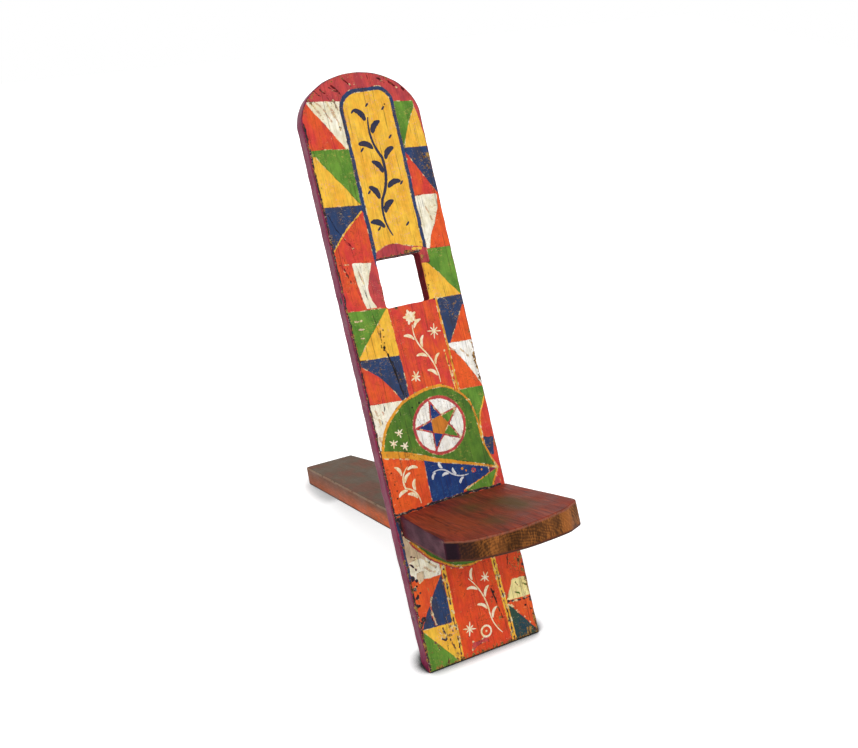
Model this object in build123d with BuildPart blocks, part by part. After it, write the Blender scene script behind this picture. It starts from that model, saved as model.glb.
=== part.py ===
from build123d import *
from math import cos, radians, sin, tan
import os

# A two-plank birthing chair. The backboard leans back on its foot. The seat plank slides
# into a sloping slot in the board until its shoulders meet the board's face, and its tail
# runs on behind, down to the floor, as the prop. Nothing else holds the chair together.
# Millimetres, +Z up. The sitter faces -Y. The origin is on the floor, at the middle of the
# footprint.

# ---- Stance ----------------------------------------------------------------------------
lean = 28.0                 # degrees the backboard leans back from upright
plank_slope = 20.3          # degrees the seat plank falls from its front edge to its tail
seat_height = 304.0         # floor to the seat's top, where it meets the board's face

# ---- Backboard -------------------------------------------------------------------------
board_length = 1290.0       # foot to crown, along the front face
board_width = 280.0
board_thickness = 36.0
crown_rise = 105.0          # height of the half-ellipse that ends the board
board_edge = 4.0            # rounding of the board's long edges and crown

hand_hole_width = 106.0
hand_hole_height = 106.0
hand_hole_sill = 779.0      # foot to the hole's lower edge, along the front face
hand_hole_offset = 8.0      # the hole is chopped a little off the board's middle, to +X
hand_hole_corner = 6.0      # corner radius that the chisel leaves
hand_hole_edge = 2.0        # wear round the hole's rims

# ---- Seat ------------------------------------------------------------------------------
seat_depth = 244.0          # board's face to the seat's front corners, along its sides
seat_back_width = 267.0     # across the shoulders
seat_front_width = 308.0    # across the front corners
seat_offset = 7.0           # seat's middle from the board's middle, to +X
left_facet_width = 37.0     # the front corners are hewn off in facets, this far across
left_facet_depth = 42.0     # and this far forward, at -X
right_facet_width = 49.0    # and at +X
right_facet_depth = 31.0
facet_round = 60.0          # radius where the facets run into the front edge
front_bow = 15.0            # how far the front edge swells beyond the facets
front_skew = 3.0            # its -X corner stands this far behind seat_depth, and +X beyond
back_left_thickness = 50.0  # the plank is hewn to a wedge: at its shoulders, at -X
front_left_thickness = 43.0     # at its front corners, at -X
front_right_thickness = 54.0    # and at +X
seat_edge = 3.0             # rounding of the seat's rims

# ---- Tail ------------------------------------------------------------------------------
tail_step = 12.5            # the tail's top lies this far below the seat's top
tail_thickness = 49.0
tail_shoulder_width = 216.0
tail_end_width = 135.0
tail_offset = -4.0          # tail's middle from the board's middle
heel_flat = 8.0             # length of the flat on the floor under the tail's end
tail_runout = 120.0         # the tail's depth below the seat dies out over this length
tail_edge = 3.0             # rounding of the tail's long edges

# ---- Fits ------------------------------------------------------------------------------
slot_clearance = 0.3        # all round the tail, where it passes through the board
shoulder_clearance = 0.2    # between the seat's shoulders and the board's face

# ---- Choosing faces and edges ----------------------------------------------------------
square_within = 0.01        # a wall's normal leans less than this out of the plank's plane
halfway = 0.5               # parts a direction along a plane from a direction through it

# ---- Derived places --------------------------------------------------------------------
lean_sin, lean_cos = sin(radians(lean)), cos(radians(lean))
slope_sin, slope_cos = sin(radians(plank_slope)), cos(radians(plank_slope))

# The board's front face: local X across, local Y up the board, local Z out of its face.
board_face = Plane(origin=(0, 0, 0), x_dir=(1, 0, 0), z_dir=(0, -lean_cos, lean_sin))

# The seat's top: its origin is on the board's face, local Y runs back along the plank.
seat_seam = (0, seat_height * tan(radians(lean)), seat_height)
plank_top = Plane(origin=seat_seam, x_dir=(1, 0, 0), z_dir=(0, slope_sin, slope_cos))
tail_top = plank_top.offset(-tail_step)

tail_underside = tail_step + tail_thickness     # below the seat's top
tail_to_floor = (seat_height - tail_underside * slope_cos) / slope_sin
tail_length = tail_to_floor + heel_flat * slope_cos
shoulder_face = board_face.offset(shoulder_clearance)
slot_run = 2 * board_thickness + tail_underside     # long enough to cut through both faces


def tail_outline(start, end, clearance=0.0):
    """Corners of the tapering tail, seen along the plank's normal, between two distances
    behind the board's face."""
    taper = (tail_shoulder_width - tail_end_width) / tail_length
    near = (tail_shoulder_width - taper * start) / 2 + clearance
    far = (tail_shoulder_width - taper * end) / 2 + clearance
    return [
        (tail_offset - near, start),
        (tail_offset + near, start),
        (tail_offset + far, end),
        (tail_offset - far, end),
    ]


def hewn_plane(first, second, third):
    """The plane of a hewn facet, through three places on the seat, facing up into it."""
    places = [plank_top.from_local_coords(Vector(*place)) for place in (first, second, third)]
    normal = (places[1] - places[0]).cross(places[2] - places[0])
    if normal.dot(plank_top.z_dir) < 0:
        normal = -normal
    return Plane(origin=places[0], z_dir=normal)


def runs_along(plane):
    """A filter for edges that lie more along a plane than through it."""
    return lambda edge: abs((edge % 0.5).dot(plane.z_dir)) < halfway


def stands_on(plane):
    """A filter for walls that stand square to a plane."""
    return lambda face: abs(face.normal_at().dot(plane.z_dir)) < square_within


# ---- Backboard -------------------------------------------------------------------------
with BuildPart() as backboard:
    with BuildSketch(board_face):
        springing = board_length - crown_rise
        with BuildLine():
            Polyline(
                (-board_width / 2, springing),
                (-board_width / 2, 0),
                (board_width / 2, 0),
                (board_width / 2, springing),
            )
            EllipticalCenterArc(
                (0, springing), board_width / 2, crown_rise, start_angle=0, arc_size=180
            )
        make_face()
    extrude(amount=-board_thickness)
    both_faces = backboard.faces().filter_by(Axis(board_face.origin, board_face.z_dir))
    fillet(both_faces.edges(), radius=board_edge)

    # The foot is cut to stand flat on the floor.
    split(bisect_by=Plane.XY, keep=Keep.TOP)

    # The hand hole, for carrying the board and for gripping from behind.
    with BuildSketch(board_face):
        with Locations((hand_hole_offset, hand_hole_sill + hand_hole_height / 2)):
            RectangleRounded(hand_hole_width, hand_hole_height, hand_hole_corner)
    extrude(amount=-board_thickness, mode=Mode.SUBTRACT)
    rims = backboard.edges(Select.LAST).filter_by(runs_along(board_face))
    fillet(rims, radius=hand_hole_edge)

    # The slot follows the tail: it slopes with the plank and narrows with its taper.
    with BuildSketch(tail_top.offset(slot_clearance)):
        Polygon(*tail_outline(-slot_run, slot_run, slot_clearance), align=None)
    extrude(amount=-(tail_thickness + 2 * slot_clearance), mode=Mode.SUBTRACT)

# ---- Tail of the seat plank ------------------------------------------------------------
with BuildPart() as tail:
    with BuildSketch(tail_top):
        Polygon(*tail_outline(-tail_runout, tail_length), align=None)
    extrude(amount=-tail_thickness)
    long_edges = tail.edges().filter_by(lambda edge: edge.length > tail_length / 2)
    end_edges = tail.faces().sort_by(Axis.Y)[-1].edges()
    fillet(long_edges + end_edges, radius=tail_edge)
    # Its heel is cut to stand flat on the floor, and it dies out under the seat in a ramp.
    split(bisect_by=Plane.XY, keep=Keep.TOP)
    ramp = hewn_plane(
        (0, 0, -tail_underside),
        (tail_shoulder_width, 0, -tail_underside),
        (0, -tail_runout, -front_left_thickness),
    )
    split(bisect_by=ramp, keep=Keep.TOP)

# ---- Seat plank ------------------------------------------------------------------------
with BuildPart() as seat_plank:
    # The seat in plan: flared sides, hewn corners and a bowed front edge. It starts inside
    # the board's thickness, and the shoulders are cut from it below.
    with BuildSketch(plank_top) as seat_plan:
        flare = (seat_front_width - seat_back_width) / 2 / seat_depth
        back_half = seat_back_width / 2 - flare * tail_underside
        front_half = seat_front_width / 2
        left_corner = Vector(seat_offset - front_half, front_skew - seat_depth)
        right_corner = Vector(seat_offset + front_half, -front_skew - seat_depth)
        left_end = left_corner + Vector(left_facet_width, -left_facet_depth)
        right_end = right_corner + Vector(-right_facet_width, -right_facet_depth)
        bow = (left_end + right_end) / 2 - Vector(0, front_bow)
        with BuildLine():
            Polyline(
                left_end,
                left_corner,
                (seat_offset - back_half, tail_underside),
                (seat_offset + back_half, tail_underside),
                right_corner,
                right_end,
            )
            ThreePointArc(left_end, bow, right_end)
        make_face()
        fillet(seat_plan.vertices().sort_by(Axis.Y)[:2], radius=facet_round)
    extrude(amount=-tail_underside)

    # The shoulders are cut to lie against the board's leaning face.
    split(bisect_by=shoulder_face, keep=Keep.TOP)

    # The underside is hewn to a wedge, thinner towards the front and towards -X.
    underside = hewn_plane(
        (seat_offset - seat_back_width / 2, 0, -back_left_thickness),
        (seat_offset - front_half, -seat_depth, -front_left_thickness),
        (seat_offset + front_half, -seat_depth, -front_right_thickness),
    )
    split(bisect_by=underside, keep=Keep.TOP)

    # Every rim is eased except where the shoulders meet the board.
    walls = seat_plank.faces().filter_by(stands_on(plank_top))
    fillet(walls.edges().filter_by(runs_along(plank_top)), radius=seat_edge)

    add(tail.part)

# ---- Placing and writing ---------------------------------------------------------------
# The pieces are drawn from the foot of the board's face. The origin then moves to the
# middle of the footprint.
whole = Compound([backboard.part, seat_plank.part]).bounding_box()
footprint_middle = Location((-whole.center().X, -whole.center().Y, 0))
backboard.part.move(footprint_middle)
seat_plank.part.move(footprint_middle)

backboard.part.label = "backboard"
seat_plank.part.label = "seat_plank"

os.makedirs("parts", exist_ok=True)
export_step(backboard.part, "parts/backboard.step")
export_step(seat_plank.part, "parts/seat_plank.step")
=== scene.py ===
import logging
import math
from dataclasses import dataclass, field
from enum import Enum
from typing import Callable, Optional, Sequence

import bpy
import numpy as np
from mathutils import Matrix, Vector, noise
from mathutils.geometry import delaunay_2d_cdt


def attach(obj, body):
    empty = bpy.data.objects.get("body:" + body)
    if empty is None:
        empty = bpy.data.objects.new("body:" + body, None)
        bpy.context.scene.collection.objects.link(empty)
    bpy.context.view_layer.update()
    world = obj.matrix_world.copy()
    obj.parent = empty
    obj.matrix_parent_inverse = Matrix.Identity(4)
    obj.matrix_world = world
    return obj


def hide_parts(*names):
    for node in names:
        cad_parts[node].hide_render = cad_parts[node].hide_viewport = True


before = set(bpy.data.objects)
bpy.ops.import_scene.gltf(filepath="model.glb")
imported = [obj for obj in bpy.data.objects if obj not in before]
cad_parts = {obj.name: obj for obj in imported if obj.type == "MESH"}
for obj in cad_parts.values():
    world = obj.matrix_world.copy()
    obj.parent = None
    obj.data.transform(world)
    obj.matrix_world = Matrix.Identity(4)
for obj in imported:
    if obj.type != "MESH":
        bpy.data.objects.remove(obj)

# A two-plank birthing chair, dressed. Sizes are in millimetres on each plank's own axes,
# and become metres in the frame when a mesh is made.

log = logging.getLogger("chair")
MM = 0.001  # one millimetre in the frame's metres
FAR = 20.0  # paint coverage is measured this far from a paint's edge
BOW_PIECES = 10  # straight pieces in a bowed edge
CORNER_PIECES = 6  # straight pieces in a rounded corner
RIM_ROWS = (0.12, 0.4, 0.7, 1.05)  # rows of points across a rim's rounding, in radii
RIM_CLEAR = 0.85  # the least share of its row's distance inside the path at which a point stays
NEAR_RIM = 8.0  # distances from a rim are exact this near to it
RIM_SKIP = 6  # farther off, they are measured to one rim point in so many
RIM_SLACK = 9.0  # and may be wrong by less than this
SHORT_RAY = 0.72  # a brushed star's shorter rays, as a share of its longer ones
LEAF_BOW = 0.14  # how far a leaf bows, as a share of its length
SHARP = 42.0  # degrees: a skin that turns more between faces shows an edge
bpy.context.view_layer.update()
Points = np.ndarray
Pair, Trio = tuple[float, float], tuple[float, float, float]
Socket = bpy.types.NodeSocket


# ---- Drawing on a plank ----
def unit(vector: Points) -> Points:
    """Scales a vector to length one."""
    return vector / np.linalg.norm(vector)


def outline(*corners: Sequence[float]) -> Points:
    """Draws a path through corners.

    Args:
        corners: (across, along), or (across, along, bow) where the edge that follows
            bulges to its left by bow.

    Returns:
        The path's points. A closed shape's last edge runs back to its first point.
    """
    path = []
    for corner, following in zip(corners, (*corners[1:], corners[0])):
        start, end = np.array(corner[:2], float), np.array(following[:2], float)
        path.append(start)
        if len(corner) == 3:
            left = unit(np.array([start[1] - end[1], end[0] - start[0]]))
            for share in np.arange(1, BOW_PIECES) / BOW_PIECES:
                swell = 4 * corner[2] * share * (1 - share)
                path.append(start + (end - start) * share + left * swell)
    return np.array(path)


def rounded(*corners: Sequence[float]) -> Points:
    """Draws a closed shape with rounded corners.

    Args:
        corners: (across, along, radius), anticlockwise.

    Returns:
        The shape's points.
    """
    places = np.array([corner[:2] for corner in corners], float)
    path = []
    for index, (place, (_, _, radius)) in enumerate(zip(places, corners)):
        before = unit(places[index - 1] - place)
        after = unit(places[(index + 1) % len(places)] - place)
        half = math.acos(float(np.clip(before @ after, -1, 1))) / 2
        if radius <= 0:
            path.append(place)
            continue
        reach = radius / math.tan(half)
        middle = place + unit(before + after) * radius / math.sin(half)
        start, end = place + before * reach - middle, place + after * reach - middle
        for share in np.linspace(0, 1, CORNER_PIECES + 1):
            spoke = start * (1 - share) + end * share
            path.append(middle + unit(spoke) * radius)
    return np.array(path)


def ring(middle: Sequence[float], radius: float, pieces: int = 48) -> Points:
    """Draws a circle, as a closed path of straight pieces."""
    turn = np.linspace(0, 2 * math.pi, pieces, endpoint=False)
    return np.array(middle) + radius * np.stack([np.cos(turn), np.sin(turn)], 1)


def leg(start: Points, end: Points, step: float, length: Optional[float] = None) -> Points:
    """Places points from one corner of a path up to the next.

    Args:
        start: the first corner, which gets a point.
        end: the next corner, which gets none.
        step: about how far apart the points are.
        length: the length to go by, if not the leg's own.

    Returns:
        The points.
    """
    length = np.linalg.norm(end - start) if length is None else length
    count = max(1, round(float(length) / step))
    return start + (end - start) * np.arange(count)[:, None] / count


def spaced(path: Points, step: float, like: Optional[Points] = None) -> Points:
    """Places points along a closed path, keeping its corners.

    Args:
        path: the path's corners.
        step: about how far apart the points are.
        like: a path of as many corners, whose points the new ones are to match in number.

    Returns:
        The points.
    """
    model = path if like is None else like
    lengths = np.linalg.norm(np.roll(model, -1, axis=0) - model, axis=1)
    legs = zip(path, np.roll(path, -1, axis=0), lengths)
    return np.concatenate([leg(start, end, step, length) for start, end, length in legs])


def rough(points: Points, scales: Sequence[float], seed: int) -> Points:
    """Reads smooth noise, from -1 to 1.

    Args:
        points: places, in two or three columns.
        scales: size of the noise's lumps along each column.
        seed: picks one of many such noises.

    Returns:
        One value for each place.
    """
    apart = np.zeros((len(points), 3))
    apart[:, :points.shape[1]] = points / np.array(scales)
    apart += np.array([17.3, 5.1, 9.7]) * seed
    return np.array([noise.noise(Vector(place)) for place in apart.tolist()])


def rough_pair(points: Points, lump: float, seed: int) -> Points:
    """Reads a stray across and a stray along, as two columns of smooth noise."""
    return np.stack([rough(points, (lump, lump), seed + i) for i in range(2)], 1)


def distance_to(points: Points, path: Points, closed: bool) -> Points:
    """Measures how far points are from a path.

    Args:
        points: the points, in two columns.
        path: the path's corners.
        closed: whether its last corner is joined to its first.

    Returns:
        The distances, below zero inside a closed path.
    """
    nearest = np.full(len(points), np.inf)
    inside = np.zeros(len(points), bool)
    ends = np.roll(path, -1, axis=0) if closed else path[1:]
    for start, end in zip(path, ends):
        along, offset = end - start, points - start
        share = np.clip(offset @ along / max(float(along @ along), 1e-12), 0, 1)
        nearest = np.minimum(nearest, ((offset - share[:, None] * along) ** 2).sum(1))
        if closed and along[1]:
            crosses = (start[1] > points[:, 1]) != (end[1] > points[:, 1])
            inside ^= crosses & (offset[:, 0] < offset[:, 1] * along[0] / along[1])
    return np.where(inside, -1.0, 1.0) * np.sqrt(nearest)


def rim_distance(points: Points, path: Points, within: float) -> Points:
    """Measures how far points are from a long closed path, exactly only near it.

    Args:
        points: the points, in two columns.
        path: the path's many close points.
        within: how near a point has to be for its distance to be exact.

    Returns:
        The distances, below zero inside the path.
    """
    distance = distance_to(points, path[::RIM_SKIP], True)
    near = np.abs(distance) < within + RIM_SLACK
    distance[near] = distance_to(points[near], path, True)
    return distance


def strayed(path: Points, step: float, amount: float, seed: int) -> Points:
    """Makes an open path wander from its line.

    Args:
        path: the path's corners.
        step: about how far apart the new path's points are.
        amount: how far it strays.
        seed: picks the way it strays.

    Returns:
        The new path's points.
    """
    legs = [leg(start, end, step) for start, end in zip(path, path[1:])]
    line = np.concatenate([*legs, path[-1:]])
    return line + amount * rough_pair(line, 9, seed)


# ---- A plank's axes and mesh ----
@dataclass(frozen=True)
class Placement:
    """A plank's own axes in the frame: across, along its length, and out of its face."""

    origin: Trio  # metres
    tilt: float  # degrees from level, about the frame's X axis

    @property
    def axes(self) -> Points:
        """The three axes, one in each row."""
        cos, sin = math.cos(math.radians(self.tilt)), math.sin(math.radians(self.tilt))
        return np.array([[1, 0, 0], [0, cos, sin], [0, -sin, cos]])

    def to_frame(self, points: Points) -> Points:
        """Turns millimetres on the plank into metres in the frame."""
        return np.array(self.origin) + points @ self.axes * MM

    def from_frame(self, points: Points) -> Points:
        """Turns metres in the frame into millimetres on the plank."""
        return (points - np.array(self.origin)) @ self.axes.T / MM


class Zone(Enum):
    """The parts of a plank's skin."""

    FACE = 0
    BACK = 1
    WALL = 2


@dataclass
class Rim:
    """A closed rim, where a plank's face turns over into its thickness.

    The material lies to the left of both paths, which have as many points.
    """

    face: Points
    back: Points
    radius: float

    def ring_points(self, path: Points) -> Points:
        """Places rows of points on the rounding.

        Args:
            path: one of the rim's two paths.

        Returns:
            The rows' points, without those that come too near another stretch of the path.
        """
        along = np.roll(path, -1, axis=0) - np.roll(path, 1, axis=0)
        left = np.stack([-along[:, 1], along[:, 0]], 1)
        left /= np.linalg.norm(left, axis=1)[:, None]
        rings = np.concatenate([path + left * self.radius * share for share in RIM_ROWS])
        wanted = np.repeat(RIM_ROWS, len(path)) * self.radius
        return rings[self.inset(rings, path, self.radius) > wanted * RIM_CLEAR]

    @staticmethod
    def inset(points: Points, path: Points, within: float) -> Points:
        """Measures how far points lie inside the material.

        Args:
            points: the points, in two columns.
            path: a path round the material, or round a hole in it.
            within: how near a distance has to be exact.

        Returns:
            The distances, above zero in the material.
        """
        x, y = path[:, 0], path[:, 1]
        turn = float(np.sum(x * np.roll(y, -1) - y * np.roll(x, -1)))
        return -rim_distance(points, path, within) * math.copysign(1.0, turn)

    def drop(self, points: Points, path: Points) -> Points:
        """How far the rounding lowers the skin at points of a face."""
        inset = np.clip(self.inset(points, path, self.radius), 0, self.radius)
        return self.radius - np.sqrt(self.radius**2 - (self.radius - inset) ** 2)


@dataclass
class Band:
    """Rows of finer points along a line on a plank's face, such as a crack or a step."""

    path: Points  # an open path
    offsets: tuple[float, ...]
    step: float
    zone: Zone = Zone.FACE

    def rows(self) -> Points:
        """Places the rows' points, leg by leg.

        Returns:
            The points.
        """
        rows = []
        for start, end in zip(self.path, self.path[1:]):
            along = unit(end - start)
            left = np.array([-along[1], along[0]])
            line = leg(start, end, self.step)
            rows += [line + left * offset for offset in self.offsets]
        return np.concatenate(rows)

    def clear_of(self, points: Points, gap: float) -> Points:
        """Picks the points that lie a gap or more outside the band."""
        reach = max(abs(offset) for offset in self.offsets) + gap
        return points[distance_to(points, self.path, False) > reach]


@dataclass
class Slab:
    """A hewn plank: a face, a back and the walls between their rims, as one closed skin."""

    placement: Placement
    rims: list[Rim]  # the outer rim first, then the holes
    face_height: Callable[[Points], Points]
    back_height: Callable[[Points], Points]
    face_step: float  # spacing of the skin's points
    back_step: float
    wall_rows: int
    bands: list[Band] = field(default_factory=list)
    places: Points = field(init=False)  # three columns, in millimetres
    zones: Points = field(init=False)
    rim_index: Points = field(init=False)  # which rim a wall hangs from, or -1
    edge: Points = field(init=False)  # distance from the nearest rim

    def sheet(self, zone: Zone) -> tuple[Points, list[tuple[int, ...]], Points]:
        """Makes the face or the back.

        Args:
            zone: which of the two.

        Returns:
            Its places, its triangles and its distances from the rims. The rims' own points
            come first.
        """
        on_face = zone is Zone.FACE
        step = self.face_step if on_face else self.back_step
        paths = [rim.face if on_face else rim.back for rim in self.rims]
        low, high = paths[0].min(0), paths[0].max(0)
        across, along = np.meshgrid(
            np.arange(low[0], high[0], step), np.arange(low[1], high[1], step)
        )
        along[:, 1::2] += step / 2
        inner = np.stack([across.ravel(), along.ravel()], 1)
        bands = [band for band in self.bands if band.zone is zone]
        for band in bands:
            inner = band.clear_of(inner, step * 0.5)
        inner = np.concatenate([inner, *[band.rows() for band in bands]])
        for rim, path in zip(self.rims, paths):
            inset = rim.inset(inner, path, rim.radius + step)
            inner = inner[inset > rim.radius * RIM_ROWS[-1] + step * 0.45]
        rings = [rim.ring_points(path) for rim, path in zip(self.rims, paths)]
        flat = np.concatenate([*paths, *rings, inner])

        edges, first = [], 0
        for path in paths:
            count = len(path)
            edges += [(first + i, first + (i + 1) % count) for i in range(count)]
            first += count
        found = delaunay_2d_cdt([Vector(p) for p in flat.tolist()], edges, [], 0, 1e-6, False)
        flat = np.array([tuple(place) for place in found[0]])
        triangles = np.array(found[2])
        middles = flat[triangles].mean(1)
        kept = np.ones(len(triangles), bool)
        for rim, path in zip(self.rims, paths):
            kept &= rim.inset(middles, path, step) > 0
        triangles = triangles[kept] if on_face else triangles[kept][:, ::-1]

        drops = [rim.drop(flat, path) for rim, path in zip(self.rims, paths)]
        drop = np.max(drops, axis=0)
        height = self.face_height(flat) - drop if on_face else self.back_height(flat) + drop
        gaps = [np.abs(rim_distance(flat, path, NEAR_RIM)) for path in paths]
        return np.column_stack([flat, height]), triangles.tolist(), np.min(gaps, axis=0)

    def build(self, name: str) -> bpy.types.Object:
        """Makes the skin, and keeps what its finish needs to know of each place on it.

        Args:
            name: the object's name.

        Returns:
            The object, in the frame's metres.
        """
        face, faces, face_edge = self.sheet(Zone.FACE)
        back, back_faces, back_edge = self.sheet(Zone.BACK)
        shift = len(face)
        faces += [tuple(i + shift for i in corner) for corner in back_faces]
        places, edge = [face, back], [face_edge, back_edge]
        zones = [np.full(len(face), Zone.FACE.value), np.full(len(back), Zone.BACK.value)]
        made, first = len(face) + len(back), 0
        rim_index = [np.full(made, -1)]
        for index, rim in enumerate(self.rims):
            count = len(rim.face)
            top, bottom = face[first:first + count], back[first:first + count]
            rows = [list(range(first, first + count))]
            for row in range(1, self.wall_rows):
                share = row / self.wall_rows
                places.append(top * (1 - share) + bottom * share)
                reach = np.linalg.norm(top - bottom, axis=1) * min(share, 1 - share)
                edge.append(reach)
                zones.append(np.full(count, Zone.WALL.value))
                rim_index.append(np.full(count, index))
                rows.append(list(range(made, made + count)))
                made += count
            rows.append(list(range(first + shift, first + shift + count)))
            for upper, lower in zip(rows, rows[1:]):
                for i in range(count):
                    j = (i + 1) % count
                    faces.append((upper[i], lower[i], lower[j], upper[j]))
            first += count
        self.places = np.concatenate(places)
        self.zones = np.concatenate(zones)
        self.rim_index = np.concatenate(rim_index)
        self.edge = np.concatenate(edge)
        mesh = bpy.data.meshes.new(name)
        mesh.from_pydata(self.placement.to_frame(self.places).tolist(), [], faces)
        mesh.shade_smooth()
        mesh.set_sharp_from_angle(angle=math.radians(SHARP))
        return added(name, mesh)


def added(name: str, data: bpy.types.ID) -> bpy.types.Object:
    """Adds a mesh, a camera or a light to the scene.

    Args:
        name: the name of the object that holds it.
        data: the mesh, camera or light.

    Returns:
        The object.
    """
    piece = bpy.data.objects.new(name, data)
    bpy.context.scene.collection.objects.link(piece)
    return piece


def tag(piece: bpy.types.Object, name: str, values: Points) -> None:
    """Stores one number on each of a piece's vertices, for its material to read."""
    layer = piece.data.attributes.new(name, "FLOAT", "POINT")
    layer.data.foreach_set("value", np.asarray(values, np.float32))


# ---- Paints ----
class Hue(Enum):
    """The painter's pots: each paint's colour, what it drifts to, and its flecks' colour."""

    RED = ("#d43e38", "#e45a29", "#8e3a1e")
    SCARLET = ("#dd4426", "#e6531f", "#8e3a1e")
    ORANGE = ("#ef6126", "#e04f28", "#a8481c")
    CRIMSON = ("#cc4a46", "#ab3e47", "#7a4a2c")
    YELLOW = ("#f7c341", "#f0af36", "#e9a78c")
    GOLD = ("#eba22f", "#dd8f2a", "#8a5a1e")
    AMBER = ("#d6812c", "#c47328", "#8a5a1e")
    GREEN = ("#6b9835", "#4f7d28", "#a9a24c")
    MOSS = ("#5a8129", "#446a24", "#9a9440")
    NAVY = ("#26406c", "#333a54", "#9c7338")
    BLUE = ("#17306f", "#20427c", "#3f6a9c")
    CREAM = ("#fdf8e6", "#eadfbd", "#c9ab74")
    WHITE = ("#fffdf8", "#f4eee0", "#b9a184")
    STRAW = ("#fff2ac", "#f2de92", "#b89a3c")
    TEAL = ("#22404c", "#2b4a3c", "#7a5a30")
    TAN = ("#e0c6a3", "#c3a887", "#6f5a4c")
    PLUM = ("#872249", "#731f40", "#85405a")
    MAROON = ("#761620", "#4c0d14", "#7a3038")
    SOOT = ("#241e2a", "#33262a", "#c9b9a0")


def linear(code: str) -> tuple[float, float, float, float]:
    """Turns a six-digit screen colour into the linear colour that Blender mixes."""
    screen = [int(code[i:i + 2], 16) / 255 for i in (1, 3, 5)]
    return (*[c / 12.92 if c <= 0.04045 else ((c + 0.055) / 1.055) ** 2.4 for c in screen], 1.0)


class Canvas:
    """What each paint covers, at a set of places on a plank.

    A paint's cover at a place is its distance from the paint's edge, below zero inside. A
    later stroke hides the earlier ones under it.
    """

    def __init__(self, places: Points, ground: Hue, wobble: float, seed: int) -> None:
        """Starts with one ground coat.

        Args:
            places: where the cover is wanted, as (across, along).
            ground: the paint under all the others.
            wobble: how far a drawn edge strays from its line.
            seed: picks the hand that strays.
        """
        stray = rough_pair(places, 28, seed) + 0.45 * rough_pair(places, 8, seed + 2)
        self.places = places + wobble * stray
        self.fray = rough(places, (7, 7), seed + 9)
        self.cover = {hue: np.full(len(places), FAR) for hue in Hue}
        self.cover[ground][:] = -FAR

    def lay(self, hue: Hue, path: Points, closed: bool, spread: Points) -> None:
        """Covers what lies nearer to a path than a spread.

        Args:
            hue: the paint.
            path: the path's points.
            closed: whether the path is closed, so that its inside is covered too.
            spread: how far the paint reaches from the path, at each of the canvas's places.
        """
        low, high = path.min(0) - FAR, path.max(0) + FAR
        near = np.all((self.places > low) & (self.places < high), axis=1)
        reach = distance_to(self.places[near], path, closed) - spread[near]
        reach = np.clip(reach, -FAR, FAR)
        for pot, cover in self.cover.items():
            if pot is hue:
                cover[near] = np.minimum(cover[near], reach)
            else:
                cover[near] = np.maximum(cover[near], -reach)

    def fill(self, hue: Hue, shape: Points) -> None:
        """Fills a closed shape with one paint."""
        self.lay(hue, shape, True, np.zeros(len(self.places)))

    def patches(self, *patches: tuple) -> None:
        """Fills shapes one after another, each given as its paint and outline's corners."""
        for hue, *corners in patches:
            self.fill(hue, outline(*corners))

    def line(self, hue: Hue, path: Points, width: float, ragged: float = 0.0) -> None:
        """Draws a line along an open path. A ragged line thins out and breaks."""
        self.lay(hue, path, False, width / 2 + ragged * self.fray)

    def dry(self, hue: Hue, width: float, seed: int, strokes: Sequence[Sequence],
            ragged: float = 2.6, step: float = 6.0, stray: float = 1.5) -> None:
        """Draws short strokes of a nearly dry brush.

        Args:
            hue: the paint.
            width: how wide a stroke is.
            seed: picks the way that the first one strays, and each seed after it the next.
            strokes: each stroke's two ends.
            ragged: how much they thin out and break.
            step: about how far apart their points are.
            stray: how far they stray.
        """
        for each, stroke in enumerate(strokes, seed):
            line = strayed(np.array(stroke, float), step, stray, each)
            self.line(hue, line, width, ragged)

    def ring(self, hue: Hue, shape: Points, width: float) -> None:
        """Draws a line round a closed shape."""
        self.line(hue, np.concatenate([shape, shape[:1]]), width)

    def seams(self) -> Points:
        """Distance from each place to the nearest edge between two paints."""
        return np.min([np.abs(cover) for cover in self.cover.values()], axis=0)


@dataclass(frozen=True)
class Row:
    """A patch of a side column: a rectangle cut in two by one bowed slant.

    The slant is given from its upper end to its lower end. The paint below it is on the
    side of the column that its lower end points away from.
    """

    top: float
    bottom: float
    above: Hue
    below: Hue
    upper: Pair
    lower: Pair
    bow: float = 0.0


@dataclass(frozen=True)
class Column:
    """A strip of patchwork down one side of the board."""

    left: float
    right: float
    drop: float  # how far each row's lines fall from left to right
    rows: tuple[Row, ...]

    def paint(self, canvas: Canvas) -> None:
        """Paints the rows from the top down.

        Args:
            canvas: where they are painted.
        """
        for row in self.rows:
            canvas.fill(row.above, outline(
                (self.left, row.bottom), (self.right, row.bottom - self.drop),
                (self.right, row.top - self.drop), (self.left, row.top),
            ))
            falls = row.lower[0] > row.upper[0]
            side = self.left if falls else self.right
            foot = row.bottom - (0 if falls else self.drop)
            toe = row.bottom - self.drop * (row.lower[0] - self.left) / (self.right - self.left)
            canvas.fill(row.below, outline(
                (side, row.upper[1]), (*row.upper, row.bow), row.lower, (row.lower[0], toe), (side, foot),
            ))


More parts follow.
